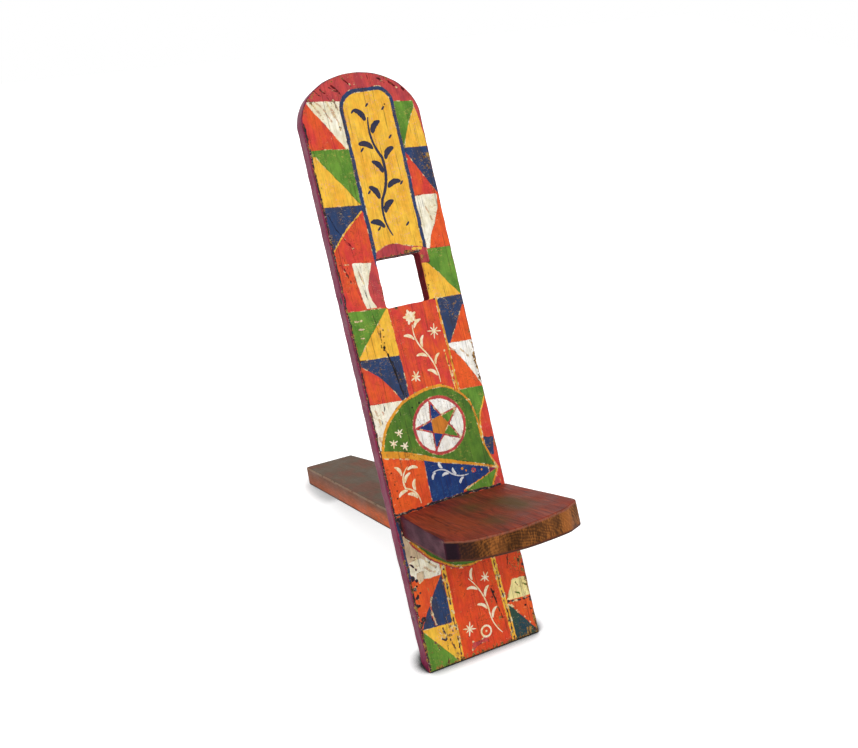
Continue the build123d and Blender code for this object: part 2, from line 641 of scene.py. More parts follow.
# ---- Node trees ----
class Wiring:
    """Short ways to write a node tree."""

    MIX_FIRST, MIX_SECOND, MIX_RESULT = 6, 7, 2  # a Mix node's sockets for colours

    def __init__(self, tree: bpy.types.NodeTree) -> None:
        """Takes up a tree, with the nodes that it has."""
        self.tree = tree

    def add(self, kind: str, **settings: object) -> bpy.types.Node:
        """Adds a node.

        Args:
            kind: the node's type.
            settings: the node's own settings.

        Returns:
            The node.
        """
        node = self.tree.nodes.new(kind)
        for name, value in settings.items():
            setattr(node, name, value)
        return node

    def plug(self, socket: Socket, value: object) -> None:
        """Gives an input its value.

        Args:
            socket: the input.
            value: an output to link it to, a six-digit screen colour, or what it holds.
        """
        if isinstance(value, Socket):
            self.tree.links.new(value, socket)
        else:
            socket.default_value = linear(value) if isinstance(value, str) else value

    def fed(self, kind: str, inputs: dict, **settings: object) -> bpy.types.Node:
        """Adds a node and gives its inputs their values.

        Args:
            kind: the node's type.
            inputs: the values, by the inputs' names or numbers.
            settings: the node's own settings.

        Returns:
            The node.
        """
        node = self.add(kind, **settings)
        for name, value in inputs.items():
            self.plug(node.inputs[name], value)
        return node

    def math(self, operation: str, *values: object) -> Socket:
        """Works out one number from others."""
        return self.fed("ShaderNodeMath", dict(enumerate(values)), operation=operation).outputs[0]

    def plus(self, first: object, second: object) -> Socket:
        """Adds two numbers."""
        return self.math("ADD", first, second)

    def less(self, first: object, second: object) -> Socket:
        """Takes the second number from the first."""
        return self.math("SUBTRACT", first, second)

    def times(self, first: object, second: object) -> Socket:
        """Multiplies two numbers."""
        return self.math("MULTIPLY", first, second)

    def ramp(self, value: object, start: float, end: float, low: object = 0.0,
             high: object = 1.0, curve: str = "SMOOTHSTEP") -> Socket:
        """Goes from low to high as a value goes from start to end.

        Args:
            value: what is read.
            start: the value that gives low.
            end: the value that gives high.
            low: the number up to the start.
            high: the number from the end on.
            curve: how it goes from low to high.

        Returns:
            The number.
        """
        return self.fed("ShaderNodeMapRange", {
            "Value": value, "From Min": start, "From Max": end, "To Min": low, "To Max": high,
        }, interpolation_type=curve).outputs["Result"]

    def mix(self, share: object, first: object, second: object) -> Socket:
        """Mixes a share of the second colour into the first."""
        inputs = {"Factor": share, self.MIX_FIRST: first, self.MIX_SECOND: second}
        return self.fed("ShaderNodeMix", inputs, data_type="RGBA").outputs[self.MIX_RESULT]

    def shade(self, colour: object, factor: object) -> Socket:
        """Makes a colour lighter or darker by a factor."""
        inputs = {0: colour, "Scale": factor}
        return self.fed("ShaderNodeVectorMath", inputs, operation="SCALE").outputs[0]


@dataclass(frozen=True)
class Lumps:
    """Smooth noise on a plank, from 0 to 1."""

    sizes: Trio  # millimetres, on the plank's axes
    detail: float = 2.0
    roughness: float = 0.5
    seed: int = 0
    distortion: float = 0.0


class Shades(Wiring):
    """A material in the making, whose patterns lie on a plank's own axes."""

    SEED_STEP = (91.0, 37.0, 53.0)  # how far apart two seeds' noises are, in lumps

    def __init__(self, name: str, placement: Placement, specular: float) -> None:
        """Starts the material.

        Args:
            name: its name.
            placement: the plank's axes.
            specular: how strongly the surface mirrors, where 0.5 is a plain varnish.
        """
        self.material = bpy.data.materials.new(name)
        self.material.use_nodes = True
        super().__init__(self.material.node_tree)
        self.shader = self.tree.nodes["Principled BSDF"]
        self.shader.inputs["Specular IOR Level"].default_value = specular
        self.at = self.add("ShaderNodeTexCoord").outputs["Object"]
        self.at = self.seen_from(placement.origin, (MM, MM, MM), placement.tilt)

    def seen_from(self, origin: Sequence[float], units: Sequence[float] = (1, 1, 1),
                  tilt: float = 0.0) -> Socket:
        """Reads a surface's place on other axes.

        Args:
            origin: where the axes meet.
            units: the length of a unit on each of them.
            tilt: degrees that they are turned about X.

        Returns:
            The place.
        """
        return self.fed("ShaderNodeMapping", {
            "Vector": self.at, "Location": origin, "Scale": units,
            "Rotation": (math.radians(tilt), 0, 0),
        }, vector_type="TEXTURE").outputs["Vector"]

    def tagged(self, name: str) -> Socket:
        """Reads a number stored on the mesh."""
        return self.add("ShaderNodeAttribute", attribute_name=name).outputs["Fac"]

    def noise(self, lumps: Lumps) -> Socket:
        """Reads smooth noise.

        Args:
            lumps: the noise.

        Returns:
            The number at each place.
        """
        origin = tuple(lumps.seed * step for step in self.SEED_STEP)
        return self.fed("ShaderNodeTexNoise", {
            "Vector": self.seen_from(origin, lumps.sizes), "Scale": 1.0,
            "Detail": lumps.detail, "Roughness": lumps.roughness,
            "Distortion": lumps.distortion,
        }).outputs["Fac"]

    def rings(self, heart: Sequence[float], spacing: float, stray: float) -> Socket:
        """Draws growth rings round a heart that runs along the plank.

        Args:
            heart: a place on the heart, in millimetres.
            spacing: how far apart the rings are.
            stray: how far they stray from circles.

        Returns:
            A number that goes from 0 to 1 across each ring.
        """
        return self.fed("ShaderNodeTexWave", {
            "Vector": self.seen_from(heart), "Scale": math.pi / 10 / spacing,
            "Distortion": stray, "Detail": 3.0, "Detail Scale": 0.6,
        }, wave_type="RINGS", rings_direction="Y").outputs["Fac"]

    def finish(self, colour: object, roughness: object, height: object,
               relief: float) -> bpy.types.Material:
        """Wires the shader.

        Args:
            colour: the surface's colour.
            roughness: its roughness.
            height: its fine relief, from 0 to 1.
            relief: what a height of 1 stands for, in millimetres.

        Returns:
            The material.
        """
        bump = self.fed("ShaderNodeBump", {"Distance": relief * MM, "Height": height})
        self.plug(self.shader.inputs["Normal"], bump.outputs["Normal"])
        self.plug(self.shader.inputs["Base Color"], colour)
        self.plug(self.shader.inputs["Roughness"], roughness)
        return self.material


@dataclass(frozen=True)
class PaintedWood:
    """Hand-brushed paint on hewn wood, chipped and worn where hands and feet meet it."""

    name: str = "painted_wood"
    bare: str = "#6a4426"
    bare_dark: str = "#2f1d13"
    worn: str = "#a9803f"
    primer: str = "#e6d3a0"
    chip_edge: str = "#c79a5a"
    pit: str = "#150d0b"
    specular: float = 0.15
    relief: float = 0.6  # millimetres

    drift: Lumps = Lumps((26, 60, 26), 3, 0.6, 1)  # each paint's slow change of colour
    streak: Lumps = Lumps((2.2, 34, 2.2), 3, 0.6, 2)  # brush marks
    nibble: Lumps = Lumps((2.6, 2.6, 2.6), 3, 0.65, 3)  # the fray of a paint's edge
    grain: Lumps = Lumps((1.6, 60, 1.6), 4, 0.6, 4, 0.6)
    dash: Lumps = Lumps((14, 14, 14), seed=5)  # primer between two paints
    flake: Lumps = Lumps((9, 14, 9), 5, 0.66, 6)
    rubbing: Lumps = Lumps((5, 9, 5), seed=7)  # bare wood where paint has gone
    gloss: Lumps = Lumps((30, 50, 30), seed=8)
    fleck_cluster: Lumps = Lumps((34, 48, 34), seed=9)
    fleck: Lumps = Lumps((6, 3.2, 6), 3, 0.6, 10, 0.8)
    scratch: Lumps = Lumps((1.7, 22, 1.7), 3, 0.6, 11, 1.2)
    scratch_cluster: Lumps = Lumps((22, 30, 22), seed=12)
    scuff: Lumps = Lumps((5, 2.4, 5), 3, 0.65, 13, 1.0)
    scuff_cluster: Lumps = Lumps((44, 44, 44), seed=14)
    check: Lumps = Lumps((2.0, 120, 2.0), 1, 0.5, 15, 0.3)  # hairline cracks along the grain
    mottle: Lumps = Lumps((11, 17, 11), 3, 0.6, 16)
    grime: Lumps = Lumps((10, 15, 10), 3, 0.6, 17)

    def material(self, placement: Placement) -> bpy.types.Material:
        """Makes the finish for a board that holds the cover of each paint.

        Args:
            placement: the board's axes.

        Returns:
            The material.
        """
        s = Shades(self.name, placement, self.specular)
        stray = s.times(s.less(s.noise(self.nibble), 0.5), 2.2)
        streak, mottle = s.noise(self.streak), s.noise(self.mottle)
        wood = s.mix(s.ramp(s.noise(self.grain), 0.3, 0.7), self.bare_dark, self.bare)

        colour = self.coats(s, wood, stray)
        colour = s.shade(colour, s.ramp(mottle, 0.3, 0.7, 0.88, 1.07))
        colour = s.shade(colour, s.ramp(streak, 0.25, 0.75, 0.88, 1.08))
        colour = self.marks(s, colour)
        colour = self.seams(s, colour, stray)
        colour, chips = self.chips(s, colour, wood)
        pit = s.plus(s.tagged("pit"), s.times(stray, 0.8))
        colour = s.mix(s.ramp(pit, 0.6, -0.3), colour, self.pit)

        height = s.plus(s.times(streak, 0.5), s.times(s.less(1.0, chips), 0.6))
        height = s.plus(height, s.times(mottle, 1.4))
        roughness = s.ramp(s.noise(self.gloss), 0.3, 0.7, 0.38, 0.55)
        roughness = s.ramp(s.tagged("maroon"), -1.0, 1.0, 1.0, roughness)
        return s.finish(colour, roughness, height, self.relief)

    def coats(self, s: Shades, wood: object, stray: object) -> Socket:
        """Lays the paints over each other on bare wood.

        Args:
            s: the material.
            wood: the bare wood's colour.
            stray: how far a paint's edge strays, in millimetres.

        Returns:
            The colour.
        """
        drift = s.ramp(s.noise(self.drift), 0.35, 0.68)
        flecks = s.times(s.ramp(s.noise(self.fleck_cluster), 0.44, 0.62),
                         s.ramp(s.noise(self.fleck), 0.56, 0.63))
        main, drifted, fleck = Hue.RED.value
        colour = s.mix(s.tagged("bare"), s.mix(drift, main, drifted), wood)
        colour = s.mix(s.times(flecks, 0.6), colour, fleck)
        for hue in Hue:
            if hue is Hue.RED:
                continue
            main, drifted, fleck = hue.value
            cover = s.plus(s.tagged(hue.name.lower()), stray)
            coat = s.mix(s.times(flecks, 0.75), s.mix(drift, main, drifted), fleck)
            colour = s.mix(s.ramp(cover, 0.35, -0.35), colour, coat)
        return colour

    def marks(self, s: Shades, colour: object) -> Socket:
        """Adds fine scratches and hairline checks along the grain, and scuffs across it.

        Args:
            s: the material.
            colour: the colour so far.

        Returns:
            The colour.
        """
        scratch = s.times(s.ramp(s.noise(self.scratch), 0.63, 0.67),
                          s.ramp(s.noise(self.scratch_cluster), 0.54, 0.66))
        check = s.ramp(s.noise(self.check), 0.65, 0.67)
        lines = s.math("MAXIMUM", scratch, s.times(check, 0.8))
        colour = s.mix(s.times(lines, 0.55), colour, self.bare_dark)
        scuff = s.times(s.ramp(s.noise(self.scuff), 0.62, 0.68),
                        s.ramp(s.noise(self.scuff_cluster), 0.5, 0.62))
        return s.mix(s.times(scuff, 0.5), colour, self.primer)

    def seams(self, s: Shades, colour: object, stray: object) -> Socket:
        """Shows primer and grime in dashes where two paints don't quite meet.

        Args:
            s: the material.
            colour: the colour so far.
            stray: how far a paint's edge strays, in millimetres.

        Returns:
            The colour.
        """
        seam = s.ramp(s.plus(s.tagged("seam"), stray), 1.5, 0.6)
        dashes = s.ramp(s.noise(self.dash), 0.53, 0.62)
        off_rims = s.ramp(s.tagged("edge"), 8, 14)
        colour = s.mix(s.times(s.times(seam, dashes), off_rims), colour, self.primer)
        grime = s.ramp(s.noise(self.grime), 0.56, 0.62)
        return s.mix(s.times(s.times(seam, grime), 0.8), colour, self.bare_dark)

    def chips(self, s: Shades, colour: object, wood: object) -> tuple[Socket, Socket]:
        """Chips the paint: much at the rims and the foot, and little on the walls.

        Args:
            s: the material.
            colour: the colour so far.
            wood: the bare wood's colour.

        Returns:
            The colour, and 1 where the paint has gone.
        """
        hold = s.less(s.ramp(s.tagged("edge"), 0.0, 14.0, 0.58, 0.73), s.tagged("wear"))
        past = s.less(s.noise(self.flake), hold)
        chips = s.ramp(past, 0.0, 0.012)
        exposed = s.mix(s.ramp(s.noise(self.rubbing), 0.42, 0.6), wood, self.worn)
        colour = s.mix(s.times(s.ramp(past, -0.02, 0.0), 0.6), colour, self.chip_edge)
        return s.mix(chips, colour, exposed), chips


# ---- Backboard ----
@dataclass
class Backboard:
    """The leaning board, with its crown, hand hole, slot, crack and painted face."""

    lean: float = 28.0
    length: float = 1290.0
    width: float = 280.0
    thickness: float = 36.0
    crown_rise: float = 105.0
    rim_radius: float = 4.0
    foot_x: float = -7.0  # middle of the face's foot, in the frame
    foot_y: float = -349.195

    hole_width: float = 106.0
    hole_height: float = 106.0
    hole_sill: float = 779.0
    hole_offset: float = 8.0
    hole_corner: float = 6.0
    hole_radius: float = 2.2
    slot_radius: float = 0.8

    face_step: float = 2.5
    back_step: float = 9.0
    wall_rows: int = 10
    hewing: float = 0.7  # height of the adze's long waves
    ripple: float = 0.3
    rim_stray: float = 1.0
    wobble: float = 1.4  # how far a painted edge strays
    crown_points: int = 149  # in the outline
    side_points: int = 395
    foot_points: int = 93
    below_foot: float = -20.0  # an outline from here goes right round the foot
    OUTER, HAND_HOLE, SLOT = 0, 1, 2  # the rims, in their order

    slot_top: float = -12.2  # the slot's reach below the seat's top
    slot_bottom: float = -61.8
    slot_half: float = 108.3  # half its width, where it meets the board's face
    slot_taper: float = 0.05645  # how much that half shrinks with each unit of depth
    slot_offset: float = -4.0

    crack_depth: float = 2.2
    crack_width: float = 1.2
    crack_rows: tuple[float, ...] = (-2.8, -1.6, -0.7, 0.7, 1.6, 2.8)
    crack_step: float = 2.2

    @property
    def crack_path(self) -> Points:
        """The long drying crack down the left of the face."""
        return strayed(outline(
            (-129, 997), (-121, 972), (-94, 916), (-83, 796), (-72, 700), (-66, 677),
            (-45, 611), (-46, 582),
        ), 5.0, 2.2, 41)

    @property
    def placement(self) -> Placement:
        """The board's axes: its origin is the middle of its face's foot."""
        return Placement((self.foot_x * MM, self.foot_y * MM, 0.0), 90.0 - self.lean)

    def outer_path(self, foot: float) -> Points:
        """Draws the board's outline, anticlockwise, from the foot's left corner.

        Args:
            foot: how far up the board the outline starts.

        Returns:
            The outline's points.
        """
        half, springing = self.width / 2, self.length - self.crown_rise
        turn = np.linspace(0, math.pi, self.crown_points, endpoint=False)
        crown = np.stack([half * np.cos(turn), springing + self.crown_rise * np.sin(turn)], 1)
        across = np.linspace(-half, half, self.foot_points, endpoint=False)
        side = np.linspace(foot, springing, self.side_points, endpoint=False)
        right = np.stack([np.full(len(side), half), side], 1)
        left = np.stack([np.full(len(side), -half), foot + springing - side], 1)
        lower = np.stack([across, np.full(len(across), foot)], 1)
        return np.concatenate([lower, right, crown, left])

    def hewn_edge(self, path: Points, seed: int) -> Points:
        """Strays a rim from its line, as hand tools do, but not at the foot."""
        fade = np.clip(path[:, 1:] / 40, 0, 1)
        return path + rough_pair(path, 22, seed) * self.rim_stray * fade

    def outer_rim(self) -> Rim:
        """Draws the rim round the board, cut to stand flat at its foot.

        Returns:
            The rim.
        """
        rise = math.tan(math.radians(self.lean))
        face_foot = self.rim_radius * rise
        back_foot = (self.thickness - self.rim_radius) * rise
        face = self.hewn_edge(self.outer_path(face_foot), 11)
        back = self.hewn_edge(self.outer_path(back_foot), 11)
        return Rim(face, back, self.rim_radius)

    def hole_rim(self) -> Rim:
        """Draws the hand hole's rim, clockwise.

        Returns:
            The rim.
        """
        left = self.hole_offset - self.hole_width / 2
        right = self.hole_offset + self.hole_width / 2
        top = self.hole_sill + self.hole_height
        corners = [(left, self.hole_sill), (right, self.hole_sill), (right, top), (left, top)]
        path = spaced(rounded(*[(*corner, self.hole_corner) for corner in corners]), 3.0)[::-1]
        return Rim(self.hewn_edge(path, 13), self.hewn_edge(path, 15), self.hole_radius)

    def slot_rim(self, plank: Placement) -> Rim:
        """Draws the slot's rim, clockwise. It slopes and narrows with the seat plank.

        Args:
            plank: the seat plank's axes.

        Returns:
            The rim.
        """
        paths = []
        for level in (0.0, -self.thickness):
            corners = []
            for side, depth in ((-1, self.slot_bottom), (-1, self.slot_top),
                                (1, self.slot_top), (1, self.slot_bottom)):
                places = np.array([[0, 0, depth], [0, 1, depth]], float)
                start, step = self.placement.from_frame(plank.to_frame(places))
                run = (level - start[2]) / (step - start)[2]
                half = self.slot_half - self.slot_taper * run
                across = self.slot_offset + side * half
                corners.append((across, (start + (step - start) * run)[1]))
            paths.append(np.array(corners))
        face, back = paths
        return Rim(spaced(face, 3.0), spaced(back, 3.0, face), self.slot_radius)

    def face_height(self, points: Points) -> Points:
        """Reads the face's relief: long hewn waves, fine ripples and the crack.

        Args:
            points: places on the face.

        Returns:
            Their heights.
        """
        fade = np.clip(points[:, 1] / 30, 0, 1)
        waves = self.hewing * rough(points, (45, 150), 21)
        waves += self.ripple * rough(points, (11, 42), 22)
        gap = distance_to(points, self.crack_path, False)
        depth = self.crack_depth * (0.7 + 0.5 * rough(points, (30, 30), 24))
        return waves * fade - depth * np.exp(-((gap / self.crack_width) ** 2))

    def back_height(self, points: Points) -> Points:
        """The back's relief."""
        fade = np.clip((points[:, 1] - 20) / 30, 0, 1)
        return self.hewing * rough(points, (45, 150), 23) * fade - self.thickness

    def paint(self, canvas: Canvas) -> None:
        """Paints the face, from the ground up.

        Args:
            canvas: the face.
        """
        left = Column(-150, -40, 9, (
            Row(1240, 1137, Hue.CREAM, Hue.RED, (-121, 1235), (-50, 1124)),
            Row(1137, 1014, Hue.GREEN, Hue.YELLOW, (-128, 1121), (-50, 1007)),
            Row(1014, 890, Hue.NAVY, Hue.RED, (-52, 992), (-150, 900), -5),
            Row(789, 684, Hue.GREEN, Hue.YELLOW, (-48, 779), (-137, 684), -1),
            Row(684, 587, Hue.NAVY, Hue.RED, (-140, 674), (-58, 576), 9),
            Row(587, 470, Hue.CREAM, Hue.CREAM, (-140, 587), (-50, 470)),
            # near-black band beside the seat's left side: the board's dark paint there, darkened further
            # as painted shade between seat and edge
            Row(346, 300, Hue.SOOT, Hue.SOOT, (-140, 346), (-50, 300)),
            Row(300, 202, Hue.CREAM, Hue.CREAM, (-140, 300), (-50, 202)),
            Row(202, 96, Hue.ORANGE, Hue.NAVY, (-62, 196), (-136, 92), -3),
            Row(96, -9, Hue.YELLOW, Hue.GREEN, (-135, 92), (-62, 0)),
        ))
        right = Column(70, 150, 4, (
            Row(1218, 1114, Hue.GREEN, Hue.YELLOW, (126, 1200), (81, 1112), -2.5),
            Row(1114, 1008, Hue.NAVY, Hue.RED, (78, 1110), (140, 1000)),
            Row(889, 779, Hue.GREEN, Hue.YELLOW, (62, 876), (137, 776)),
            Row(779, 677, Hue.NAVY, Hue.ORANGE, (134, 754), (83, 674)),
            Row(677, 572, Hue.WHITE, Hue.ORANGE, (76, 674), (138, 568), 6),
            Row(572, 440, Hue.GREEN, Hue.GREEN, (76, 572), (138, 440)),
            Row(92, -4, Hue.ORANGE, Hue.TEAL, (75, 92), (143, 0)),
        ))
        left.paint(canvas)
        right.paint(canvas)
        canvas.patches(
            (Hue.YELLOW, (58, 885), (70, 878), (70, 776), (58, 776)),
            (Hue.CRIMSON, (-160, 1241), (-40, 1231), (160, 1209), (160, 1300), (-160, 1300)),
        )
        self.paint_middle_rows(canvas)
        self.paint_dry_strokes(canvas)
        self.paint_cartouche(canvas)
        self.paint_panels(canvas)
        self.paint_dome(canvas)
        self.paint_wedge_dots(canvas)
        self.paint_medallion(canvas)
        self.paint_below_seat(canvas)
        self.paint_rims(canvas)

    def paint_dry_strokes(self, canvas: Canvas) -> None:
        """Draws the short strokes that a nearly dry brush left over the patches.

        Args:
            canvas: the face.
        """
        canvas.dry(Hue.TAN, 2.6, 70, (
            ((-108, 1232), (-94, 1206)), ((-97, 1234), (-84, 1216)),
            ((-88, 1222), (-72, 1190)), ((-74, 1232), (-62, 1196)),
            ((-64, 1216), (-56, 1170)), ((-58, 1236), (-52, 1214)),
            ((-122, 766), (-110, 765)), ((-121, 748), (-108, 746)),
            ((-120, 729), (-112, 728)), ((-90, 868), (-84, 842)),
            ((-126, 572), (-118, 540)), ((-110, 566), (-104, 530)),
            ((-130, 520), (-124, 492)), ((100, 980), (108, 950)),
            ((84, 664), (96, 650)), ((106, 660), (120, 640)),
        ))
        canvas.dry(Hue.MAROON, 3.0, 70, (
            ((-84, 1262), (-68, 1246)), ((-56, 1266), (-40, 1250)),
            ((-24, 1276), (-12, 1262)), ((80, 1262), (96, 1246)),
            ((56, 1270), (70, 1258)), ((106, 1246), (116, 1232)),
            ((-122, 880), (-112, 846)), ((-104, 940), (-90, 918)),
        ))

    def paint_middle_rows(self, canvas: Canvas) -> None:
        """Paints the rows beside the hand hole, whose patches aren't cut corner to corner.

        Args:
            canvas: the face.
        """
        canvas.line(Hue.YELLOW, outline((-52, 993, -5), (-148, 903)), 3.4, 1.2)
        canvas.patches(
            (Hue.CREAM, (-101, 888, -3), (-90, 787), (-67, 785, 4), (-77, 832), (-57, 882)),
            (Hue.CRIMSON, (-57, 884), (-77, 832, -4), (-67, 785), (-40, 783), (-40, 886)),
            (Hue.ORANGE, (70, 1006), (150, 1002), (150, 888), (70, 890)),
            (Hue.CREAM, (72, 1007), (133, 1004), (129, 975), (112, 940, -3), (88, 889), (70, 890)),
            (Hue.CRIMSON, (126, 1212), (127, 1199, 1), (134, 1160), (137, 1123), (150, 1123),
             (150, 1215)),
        )

    def paint_cartouche(self, canvas: Canvas) -> None:
        """Paints the long yellow panel over the hand hole, in its navy border.

        Args:
            canvas: the face.
        """
        canvas.fill(Hue.NAVY, rounded(
            (-49, 870, 0), (80, 870, 0), (81, 1254, 34), (-48, 1254, 44),
        ))
        canvas.fill(Hue.YELLOW, rounded(
            (-40, 870, 0), (72, 870, 0), (73, 1245, 27), (-40, 1245, 37),
        ))
        canvas.patches((Hue.CRIMSON, (-40, 900, 6), (12, 912, -2), (66, 897), (80, 890),
                        (80, 860), (-50, 860)))
        canvas.line(Hue.YELLOW, outline((46, 894), (66, 892)), 6.0, 1.0)
        # painted shade: a near-black band along the hand hole's top edge
        canvas.patches((Hue.SOOT, (-47, 884), (62, 884), (62, 890), (24, 888), (-47, 887)))

    def paint_panels(self, canvas: Canvas) -> None:
        """Paints the red panel under the hand hole.

        Args:
            canvas: the face.
        """
        canvas.patches((Hue.RED, (-44, 782), (74, 779), (79, 560), (-38, 560)))
        canvas.line(Hue.GOLD, outline((74, 782), (79, 566)), 4.6, 0.8)
        canvas.line(Hue.YELLOW, outline((65, 664), (73, 577)), 2.6, 1.0)

    def dome_path(self) -> Points:
        """The dome's outline, from its left foot over the top to its right foot."""
        return outline(
            (-131, 480, 16), (-48, 580, 4), (36, 592, 8), (98, 540, 4), (106, 470, -5), (131, 385),
        )

    def paint_dome(self, canvas: Canvas) -> None:
        """Paints the green dome over the seat, with the panels under its base band.

        Args:
            canvas: the face.
        """
        canvas.patches((Hue.RED, (136, 545), (113, 500), (110, 464), (131, 385), (134, 340),
                        (150, 340), (150, 545)))
        canvas.line(Hue.YELLOW, outline((136, 545), (118, 510, -2), (110, 462)), 3.2, 0.8)
        canvas.patches((Hue.NAVY, (111, 459), (136, 453), (128, 413), (113, 418)))
        dome = self.dome_path()
        canvas.fill(Hue.MOSS, dome)
        canvas.line(Hue.GOLD, dome[:22], 6.4, 0.8)
        canvas.line(Hue.GOLD, dome[21:], 4.2, 0.8)
        canvas.patches(
            (Hue.ORANGE, (-150, 474), (-42, 444), (-44, 340), (-150, 340)),
            (Hue.BLUE, (-42, 444), (130, 385), (34, 354), (34, 340), (-44, 340)),
            (Hue.GREEN, (129, 385), (106, 345), (50, 345), (40, 354)),
            (Hue.CRIMSON, (112, 362), (128, 366), (128, 340), (106, 340)),
        )
        canvas.line(Hue.GOLD, outline((129, 385), (36, 355)), 2.6, 0.8)
        canvas.line(Hue.GOLD, outline((130, 385), (106, 345)), 3.4, 0.6)
        canvas.patches((Hue.GOLD, (-134, 487, 3), (-26, 448), (127, 388), (127, 384),
                        (-42, 442, -3), (-134, 470)))
        # darker along the joint: a near-black ragged line on the board just above the seat's top
        seam = strayed(np.array([(-136.0, 345.0), (-30, 348.5), (30, 349), (126, 345)]),
                       7.0, 1.4, 47)
        canvas.line(Hue.SOOT, seam, 5.6, 2.8)
        canvas.line(Hue.CREAM, outline((-135, 332), (-131, 306)), 2.6, 2.2)

    def paint_wedge_dots(self, canvas: Canvas) -> None:
        """Paints small dabs on the blue wedge.

        Args:
            canvas: the face.
        """
        for across, along, radius in ((43, 402, 3.4), (51, 396, 2.4), (89, 389, 2.4)):
            canvas.fill(Hue.GOLD, ring((across, along), radius, 12))
        canvas.ring(Hue.CRIMSON, ring((70, 392), 3.8, 16), 3.0)
        canvas.patches((Hue.PLUM, (106, 390), (127, 385), (108, 377)))

    def paint_medallion(self, canvas: Canvas) -> None:
        """Paints the disc on the dome, with its five-pointed star.

        Args:
            canvas: the face.
        """
        middle, radius, tip, waist, turn = (14, 508), 61.0, 57.0, 23.0, 103.0
        canvas.fill(Hue.WHITE, ring(middle, radius))
        angles = [math.radians(turn + 36 * i) for i in range(10)]
        star = [
            np.array(middle) + (tip if i % 2 == 0 else waist)
            * np.array([math.cos(a), math.sin(a)]) for i, a in enumerate(angles)
        ]
        for i, hue in enumerate((Hue.BLUE, Hue.BLUE, Hue.BLUE, Hue.GREEN, Hue.GREEN)):
            arm = np.array([star[2 * i - 1], star[2 * i], star[2 * i + 1]])
            canvas.fill(hue, np.array([*arm, middle]))
        canvas.fill(Hue.AMBER, np.array(star[1::2]))
        canvas.ring(Hue.CRIMSON, np.array(star), 3.6)
        canvas.ring(Hue.CRIMSON, ring(middle, radius), 6.6)

    def paint_below_seat(self, canvas: Canvas) -> None:
        """Paints the panels under the seat.

        Args:
            canvas: the face.
        """
        canvas.patches(
            (Hue.SCARLET, (-62, -10), (150, -10), (150, 340), (-62, 340)),
            (Hue.STRAW, (101, 135), (150, 131), (150, 87), (77, 92)),
            (Hue.TEAL, (74, 91), (144, 0), (144, -10), (74, -10)),
            (Hue.ORANGE, (77, 92), (150, 88), (150, -4)),
            # the cream under the seat's left side is drawn tan here: painted shade under the seat, with
            # tan brush streaks
            (Hue.TAN, (-150, 305), (-128, 296), (-96, 256, 3), (-101, 242, -4), (-150, 234)),
            (Hue.TAN, (-117, 214), (-103, 216, 3), (-106, 196), (-115, 192, 3)),
        )
        for across, along, radius in (
            (-130, 206, 6.5), (-121, 199, 3.6), (-129, 184, 4.8), (-128, 164, 4.2),
            (-132, 146, 4.6), (-126, 116, 5.4), (-133, 108, 5.0), (-120, 172, 2.2),
            (135, 268, 4.5), (133, 236, 5.5), (137, 208, 4.0), (136, 160, 3.4),
            (138, 128, 4.6), (134, 112, 2.6), (138, 78, 5.0), (139, 44, 4.4), (130, 12, 3.6),
        ):
            canvas.fill(Hue.SOOT, ring((across, along), radius, 12))
        canvas.line(Hue.SOOT, outline((80, 90), (112, 85), (139, 84)), 3.4, 2.8)
        canvas.line(Hue.SOOT, outline((108, 280), (101, 240), (112, 214)), 2.0, 1.8)
        for hue, width, strokes in (
            (Hue.SOOT, 2.4, (
                ((-104, 88), (-92, 72)), ((-88, 84), (-82, 58)), ((-76, 64), (-70, 34)),
                ((-94, 64), (-86, 56)), ((-70, 90), (-66, 70)), ((-112, 62), (-104, 40)),
                ((-128, 238), (-117, 222)), ((-121, 252), (-110, 245)),
            )),
            (Hue.MOSS, 2.6, (
                ((108, 126), (118, 112)), ((126, 120), (138, 104)), ((100, 106), (114, 98)),
            )),
            (Hue.TAN, 3.4, (
                ((-104, 270), (-88, 246)), ((-112, 256), (-92, 238)), ((-90, 232), (-70, 214)),
                ((-98, 222), (-78, 206)),
            )),
        ):
            canvas.dry(hue, width, 90, strokes, ragged=3.0, step=5.0, stray=1.6)
        canvas.line(Hue.TAN, outline((-98, 154), (-104, 132), (-101, 97)), 3.2, 2.2)
        canvas.line(Hue.SOOT, outline((-102, 138), (-107, 120), (-105, 97)), 2.0, 1.6)
        for u_top, u_foot in ((-54, -59), (65, 76)):
            band = np.array([(u_top, 246), (u_foot, -2)], float)
            canvas.line(Hue.YELLOW, band, 10.5, 1.0)
            canvas.line(Hue.SOOT, strayed(band, 9.0, 1.4, u_foot), 2.6, 2.6)
        bowl = outline((-114, 300), (-114, 284, -9), (-26, 203, -5), (40, 200, -16), (104, 300))
        canvas.fill(Hue.MOSS, bowl)
        canvas.line(Hue.CRIMSON, bowl[1:-1] + np.array([-3.0, -1.5]), 5.0, 1.0)
        canvas.line(Hue.GOLD, bowl[1:-1], 4.4, 0.8)
        canvas.patches((Hue.CRIMSON, (-30, 14, 5), (14, 22), (8, 38, 6), (-26, 34)))

    def paint_rims(self, canvas: Canvas) -> None:
        """Paints the plum coat of the walls, where it laps over the face's edges.

        Args:
            canvas: the face.
        """
        left = -self.width / 2
        edge = strayed(np.array([(left + 3.8, -20.0), (left + 3.8, 1190.0)]), 7.0, 1.6, 43)
        canvas.line(Hue.SOOT, edge, 3.8, 1.7)
        strip = strayed(np.array([(left + 5, 205.0), (left + 5, 330.0)]), 6.0, 2.4, 46)
        canvas.line(Hue.NAVY, strip, 7.0, 1.8)
        for low, high in ((0, 215), (566, 690), (1000, 1030)):
            edge = strayed(np.array([(1.0 - left, low), (1.0 - left, high)]), 7.0, 1.6, 44)
            canvas.line(Hue.SOOT, edge, 4.4, 2.2)
        canvas.ring(Hue.PLUM, self.outer_path(self.below_foot)[::4], 4.0)

